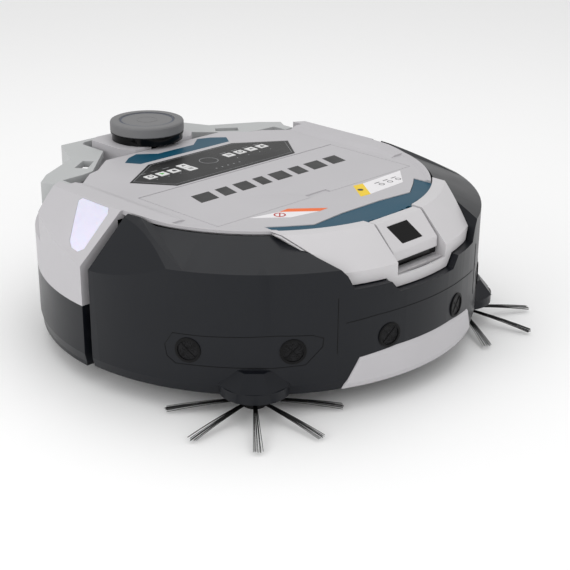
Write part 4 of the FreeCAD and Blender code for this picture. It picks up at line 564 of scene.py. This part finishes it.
brush_left = side_brush("left", first_turn=2.8)
brush_right = side_brush("right", first_turn=14.2)
print("side brush faces:", len(brush_left.data.polygons), len(brush_right.data.polygons))

# %% [markdown]
# ## Main brush
#
# The main brush carries six rows of short filaments, set in a core that turns. The rows are dense, so
# that from below they read as soft combs rather than as bars.

# %% Rows of short filaments
AXIS_Y, AXIS_Z = -75 * MM, 24 * MM
ROWS, SPOTS, HALF_LENGTH = 6, 112, 93
CORE_R, SWEEP_LOW, SWEEP_HIGH = 9 * MM, 22.2, 23.1
work = bmesh.new()
for row in range(ROWS):
    for spot in range(SPOTS):
        lean = math.radians(60 * row + 90 + random.uniform(-6, 6))
        x = (-HALF_LENGTH + 2 * HALF_LENGTH * spot / (SPOTS - 1)) * MM
        root = Vector((x, AXIS_Y + CORE_R * math.cos(lean), AXIS_Z + CORE_R * math.sin(lean)))
        far = random.uniform(SWEEP_LOW, SWEEP_HIGH) * MM
        tip = Vector((x + random.uniform(-1, 1) * MM, AXIS_Y + far * math.cos(lean),
                      AXIS_Z + far * math.sin(lean)))
        filament(work, root, tip, 1.3, cuts=1)
comb = settle("filaments_main", work, body_name("main_brush_bristles"), bristle_nylon)
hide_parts("main_brush_bristles")
print("main brush faces:", len(comb.data.polygons))

# %% [markdown]
# ## Bumper springs
#
# The bumper floats on four coil springs that can be seen in the slots at the sides. Wire is wound round a
# rod, so the shape is a small ring swept round an axis while it moves along it.

# %% Coil springs
SPRING_X, SPRING_HEIGHTS, SPRING_Y = 236, (48, 78), (-12.0, -0.5)
COIL_R, WIRE_R, TURNS, STEPS_PER_TURN = 3.4, 0.5, 5, 14


def coil(work, x, z, y_low, y_high):
    """A coil spring along Y, as an open tube of wire."""
    wire = bmesh.ops.create_circle(work, segments=8, radius=WIRE_R * MM)["verts"]
    bmesh.ops.transform(work, matrix=Matrix.Translation((x + COIL_R * MM, y_low, z)), verts=wire)
    edges = list({e for v in wire for e in v.link_edges})
    steps = TURNS * STEPS_PER_TURN
    bmesh.ops.spin(work, geom=wire + edges, cent=(x, y_low, z), axis=(0, 1, 0),
                   dvec=(0, (y_high - y_low) / steps, 0), angle=math.tau * TURNS, steps=steps)


work = bmesh.new()
for side in (-1, 1):
    for height in SPRING_HEIGHTS:
        coil(work, side * SPRING_X * MM, height * MM, SPRING_Y[0] * MM, SPRING_Y[1] * MM)
bmesh.ops.holes_fill(work, edges=[e for e in work.edges if e.is_boundary], sides=8)
springs = settle("coiled_springs", work, body_name("bumper_springs"), spring_steel)
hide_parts("bumper_springs")

# %% [markdown]
# ## Printed marks
#
# Labels and marks are printed film, a tenth of a millimetre thick, laid on the lid, the panel and the
# keys. Their drawings are generic: plain bands, rings, bars and triangles, and no lettering at all. Each
# mark is made of thin plates cut to their outlines, so it has an edge that catches light as real film
# does.

# %% Thin plates
DECK_TOP, PANEL_TOP, KEY_TOP = 174.0, 174.4, 175.0
FILM_MM = 0.12
LINE_MM = 0.1
SECOND_LAYER = DECK_TOP + 0.13


def plate(work, corners_mm, base_mm, thick_mm=FILM_MM):
    """A thin upright plate over an outline of (x, y) corners."""
    verts = [work.verts.new((x * MM, y * MM, base_mm * MM)) for x, y in corners_mm]
    face = bmesh.ops.contextual_create(work, geom=verts)["faces"]
    top = bmesh.ops.extrude_face_region(work, geom=face)["geom"]
    raised = [g for g in top if isinstance(g, bmesh.types.BMVert)]
    bmesh.ops.translate(work, vec=(0, 0, thick_mm * MM), verts=raised)


def on_circle(x, y, radius, angle):
    """A point of a circle round (x, y)."""
    return x + radius * math.cos(angle), y + radius * math.sin(angle)


def disc(work, x, y, radius, base_mm, sides=28):
    """A thin round plate."""
    plate(work, [on_circle(x, y, radius, math.tau * i / sides) for i in range(sides)], base_mm)


def ring(work, x, y, outer, inner, base_mm, sides=28, start=0.0, sweep=math.tau):
    """A thin ring, or part of one, made of short plates."""
    for i in range(sides):
        a, b = start + sweep * i / sides, start + sweep * (i + 1) / sides
        plate(work, [on_circle(x, y, outer, a), on_circle(x, y, outer, b), on_circle(x, y, inner, b),
                     on_circle(x, y, inner, a)], base_mm)


def line(work, a, b, width, base_mm):
    """A straight printed line between two points."""
    along = (Vector(b) - Vector(a)).normalized() * width / 2
    side = Vector((-along.y, along.x))
    plate(work, [Vector(a) - side, Vector(b) - side, Vector(b) + side, Vector(a) + side], base_mm, LINE_MM)


lid_body = body_name("dust_lid")
chassis_body = body_name("upper_shell")

# %% Labels on the deck
work = bmesh.new()
plate(work, [(-60, -106), (-28, -133), (-42, -134), (-74, -107)], DECK_TOP)
settle("label_orange_band", work, chassis_body, ink_orange, smooth=False)

work = bmesh.new()
plate(work, [(-109, -100), (-74, -107), (-42, -134), (-77, -127)], DECK_TOP)
plate(work, [(60.6, -103), (128, -100), (97, -130), (39.5, -133)], DECK_TOP)
settle("label_white_fields", work, chassis_body, ink_white, smooth=False)

work = bmesh.new()
plate(work, [(46.8, -101), (60.6, -103), (39.5, -133), (24.6, -132)], DECK_TOP)
settle("label_yellow_field", work, chassis_body, ink_yellow, smooth=False)

work = bmesh.new()
ring(work, -80, -114, 6.4, 4.8, SECOND_LAYER)
line(work, (-84, -118), (-76, -110), 1.4, SECOND_LAYER)
settle("label_ban_ring", work, chassis_body, ink_red, smooth=False)

work = bmesh.new()
for shift in (0, 14, 28):
    line(work, (70 + shift, -112), (78 + shift, -112), 1.2, SECOND_LAYER)
    ring(work, 74 + shift, -119, 3.4, 2.6, SECOND_LAYER, sides=18)
disc(work, 42, -116, 3.2, SECOND_LAYER)
settle("label_marks", work, chassis_body, ink_black, smooth=False)

# %% A row of slanted blocks on the lid, where a maker would print a name
work = bmesh.new()
block_edges = [-112, -78, -52, -22, 2, 34, 60, 92, 122]
for left, right in zip(block_edges[:-1], block_edges[1:]):
    plate(work, [(left, -30), (right - 9, -30), (right - 3, -6), (left + 6, -6)], DECK_TOP)
name_blocks = settle("lid_blocks", work, lid_body, ink_black, smooth=False)
print("faces of the blocks:", len(name_blocks.data.polygons))

# %% Marks on the control panel
work = bmesh.new()
for side in (-1, 1):
    line(work, (side * 118, 76), (side * 91, 37), 0.5, PANEL_TOP)
    line(work, (side * 118, 76), (side * 64, 111), 0.5, PANEL_TOP)
line(work, (-91, 37), (91, 37), 0.5, PANEL_TOP)
line(work, (-64, 111), (64, 111), 0.5, PANEL_TOP)
for key_x in (-94, -77, -60, 28, 46, 64, 82):
    line(work, (key_x - 4.5, 90), (key_x + 4.5, 90), 1.1, PANEL_TOP)
    disc(work, key_x, 64, 0.9, PANEL_TOP, sides=14)
for dot in range(5):
    disc(work, -18 + 9 * dot, 50, 1.2, PANEL_TOP, sides=16)
ring(work, -4, 79, 11.5, 10.6, PANEL_TOP, sides=36)
settle("panel_marks", work, body_name("control_panel"), ink_grey, smooth=False)

# %% Marks on the keys
def key_mark(work, kind, x, y):
    """One generic pictogram on a key."""
    if kind == "ring":
        ring(work, x, y, 3.6, 2.5, KEY_TOP, sides=20, start=2.0, sweep=5.2)
        line(work, (x, y + 1), (x, y + 4), 1.0, KEY_TOP)
    elif kind == "play":
        plate(work, [(x - 2.4, y - 3), (x + 3.4, y), (x - 2.4, y + 3)], KEY_TOP)
    elif kind == "bars":
        for shift in (-2, 0, 2):
            line(work, (x - 3, y + shift), (x + 3, y + shift), 0.8, KEY_TOP)
    elif kind == "house":
        plate(work, [(x - 2.6, y - 3), (x + 2.6, y - 3), (x + 2.6, y), (x, y + 3), (x - 2.6, y)], KEY_TOP)
    else:
        plate(work, [(x - 2.8, y - 1.6), (x + 2.8, y - 1.6), (x, y + 2.8)], KEY_TOP)


KEY_KINDS = {"key_left_a": "ring", "key_left_b": "play", "key_left_c": "house", "key_left_d": "arrow",
             "key_left_e": "bars", "key_right_a": "bars", "key_right_b": "ring", "key_right_c": "arrow",
             "key_right_d": "house"}
for name, kind in KEY_KINDS.items():
    low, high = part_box(name)
    x, y = (low[0] + high[0]) / 2 / MM, (low[1] + high[1]) / 2 / MM
    work = bmesh.new()
    key_mark(work, kind, x, y)
    colour = ink_green if name == "key_left_b" else ink_black
    settle("mark_" + name, work, body_name(name), colour, smooth=False)
print("key marks:", len(KEY_KINDS))

# %% [markdown]
# ## Distance sensors
#
# Each ultrasonic sensor sits behind a round bezel, and a thin cross guards its perforated face. The cross is
# part of the moulded guard, so it is made of two slim bars across each disc.

# %% Crosses over the sensors
SENSORS = ((12.5, 74.0), (36.3, 71.5), (60.1, 70.0))
CROSS_R = 250.2
work = bmesh.new()
for angle, height in SENSORS:
    for side in (-1, 1):
        turn = Matrix.Rotation(math.radians(side * angle), 4, "Z")
        place = turn @ Matrix.Translation((0, -CROSS_R * MM, height * MM))
        for lean in (45, 135):
            size = Matrix.Diagonal((20.5 * MM, 0.7 * MM, 1.0 * MM, 1))
            bar = place @ Matrix.Rotation(math.radians(lean), 4, "Y") @ size
            bmesh.ops.create_cube(work, size=1.0, matrix=bar)
settle("sensor_crosses", work, body_name("bumper_shell"), inner_black, smooth=False)

# %% [markdown]
# ## Seams of the bumper
#
# The bumper is pressed together from a skin and an inner frame, and their joint shows as fine lines: one
# round each side's pair of outer sensors, one across the front above the inner sensors, and an upright
# one on each side between them. A seam is a shadow a fraction of a millimetre wide, so it is drawn as a
# very thin dark bead, half sunk in the wall.

# %% Fine seams
SEAM_R, SEAM_MM, SEAM_STEP = 250.02, 0.55, 1.5


def seam(work, spots):
    """A bead along (angle, height) spots on the bumper's wall, in steps that follow its curve."""
    for (a, low), (b, high) in zip(spots[:-1], spots[1:]):
        steps = max(1, int(abs(b - a) / SEAM_STEP))
        for i in range(steps):
            ends = []
            for part in (i / steps, (i + 1) / steps):
                angle, z = math.radians(a + (b - a) * part), low + (high - low) * part
                ends.append(Vector((SEAM_R * math.sin(angle), -SEAM_R * math.cos(angle), z)) * MM)
            along = ends[1] - ends[0]
            size = Matrix.Diagonal((SEAM_MM * MM, SEAM_MM * MM, along.length * 1.05, 1))
            turn = along.to_track_quat("Z", "Y").to_matrix().to_4x4()
            bead = Matrix.Translation((ends[0] + ends[1]) / 2) @ turn @ size
            bmesh.ops.create_cube(work, size=1.0, matrix=bead)


SENSOR_FRAME = [(65.7, 73), (63.7, 86.5), (57.1, 86.4), (48.2, 87.5), (40.1, 89), (31.9, 87.4), (29.3, 83.2),
                (29.5, 74.3), (33.4, 56.3), (41, 54.4), (45.7, 54.6), (55.9, 54.4), (63.2, 54.1),
                (65.2, 61.1), (65.7, 73)]
work = bmesh.new()
for side in (-1, 1):
    seam(work, [(side * angle, height) for angle, height in SENSOR_FRAME])
    seam(work, [(side * 24, 96), (side * 16, 99), (side * 6, 100), (0, 100)])
    seam(work, [(side * 26, 122), (side * 26, 66)])
seams = settle("bumper_seams", work, body_name("bumper_shell"), inner_black, smooth=False)
print("seam faces:", len(seams.data.polygons))

# %% [markdown]
# ## Scanner cap
#
# The cap over the laser scanner is a disc with a sunk face. A dark blue ring is printed inside the rim, a
# small grey ring marks its middle, and a glossy black collar closes the window's top. All three are
# turned parts, so each is a small profile spun round the axis.

# %% Rings on the scanner
SCAN_Y = 195.5


def turned_ring(name, profile_mm, body, material):
    """Spin a closed (radius, height) profile round the scanner's axis."""
    work = bmesh.new()
    verts = [work.verts.new((r * MM, SCAN_Y * MM, z * MM)) for r, z in profile_mm]
    geom = verts + [work.edges.new((verts[i], verts[(i + 1) % len(verts)])) for i in range(len(verts))]
    bmesh.ops.spin(work, geom=geom, cent=(0, SCAN_Y * MM, 0), axis=(0, 0, 1), angle=math.tau, steps=96,
                   use_merge=True)
    bmesh.ops.remove_doubles(work, verts=work.verts, dist=0.001 * MM)
    return settle(name, work, body, material)


cap_body = body_name("lidar_cap")
print_blue = printed_film("print_blue", "#3a4254", "#343c4d")
turned_ring("cap_blue_ring", [(31.0, 200.2), (33.2, 200.2), (33.2, 200.45), (31.0, 200.45)], cap_body,
            print_blue)
turned_ring("cap_inner_ring", [(12.0, 200.2), (12.8, 200.2), (12.8, 200.4), (12.0, 200.4)], cap_body,
            cap_grey)
turned_ring("window_collar", [(36.0, 185.9), (44.6, 185.9), (44.6, 187.4), (43.9, 188.1), (36.0, 188.1)],
            cap_body, scanner_glass)
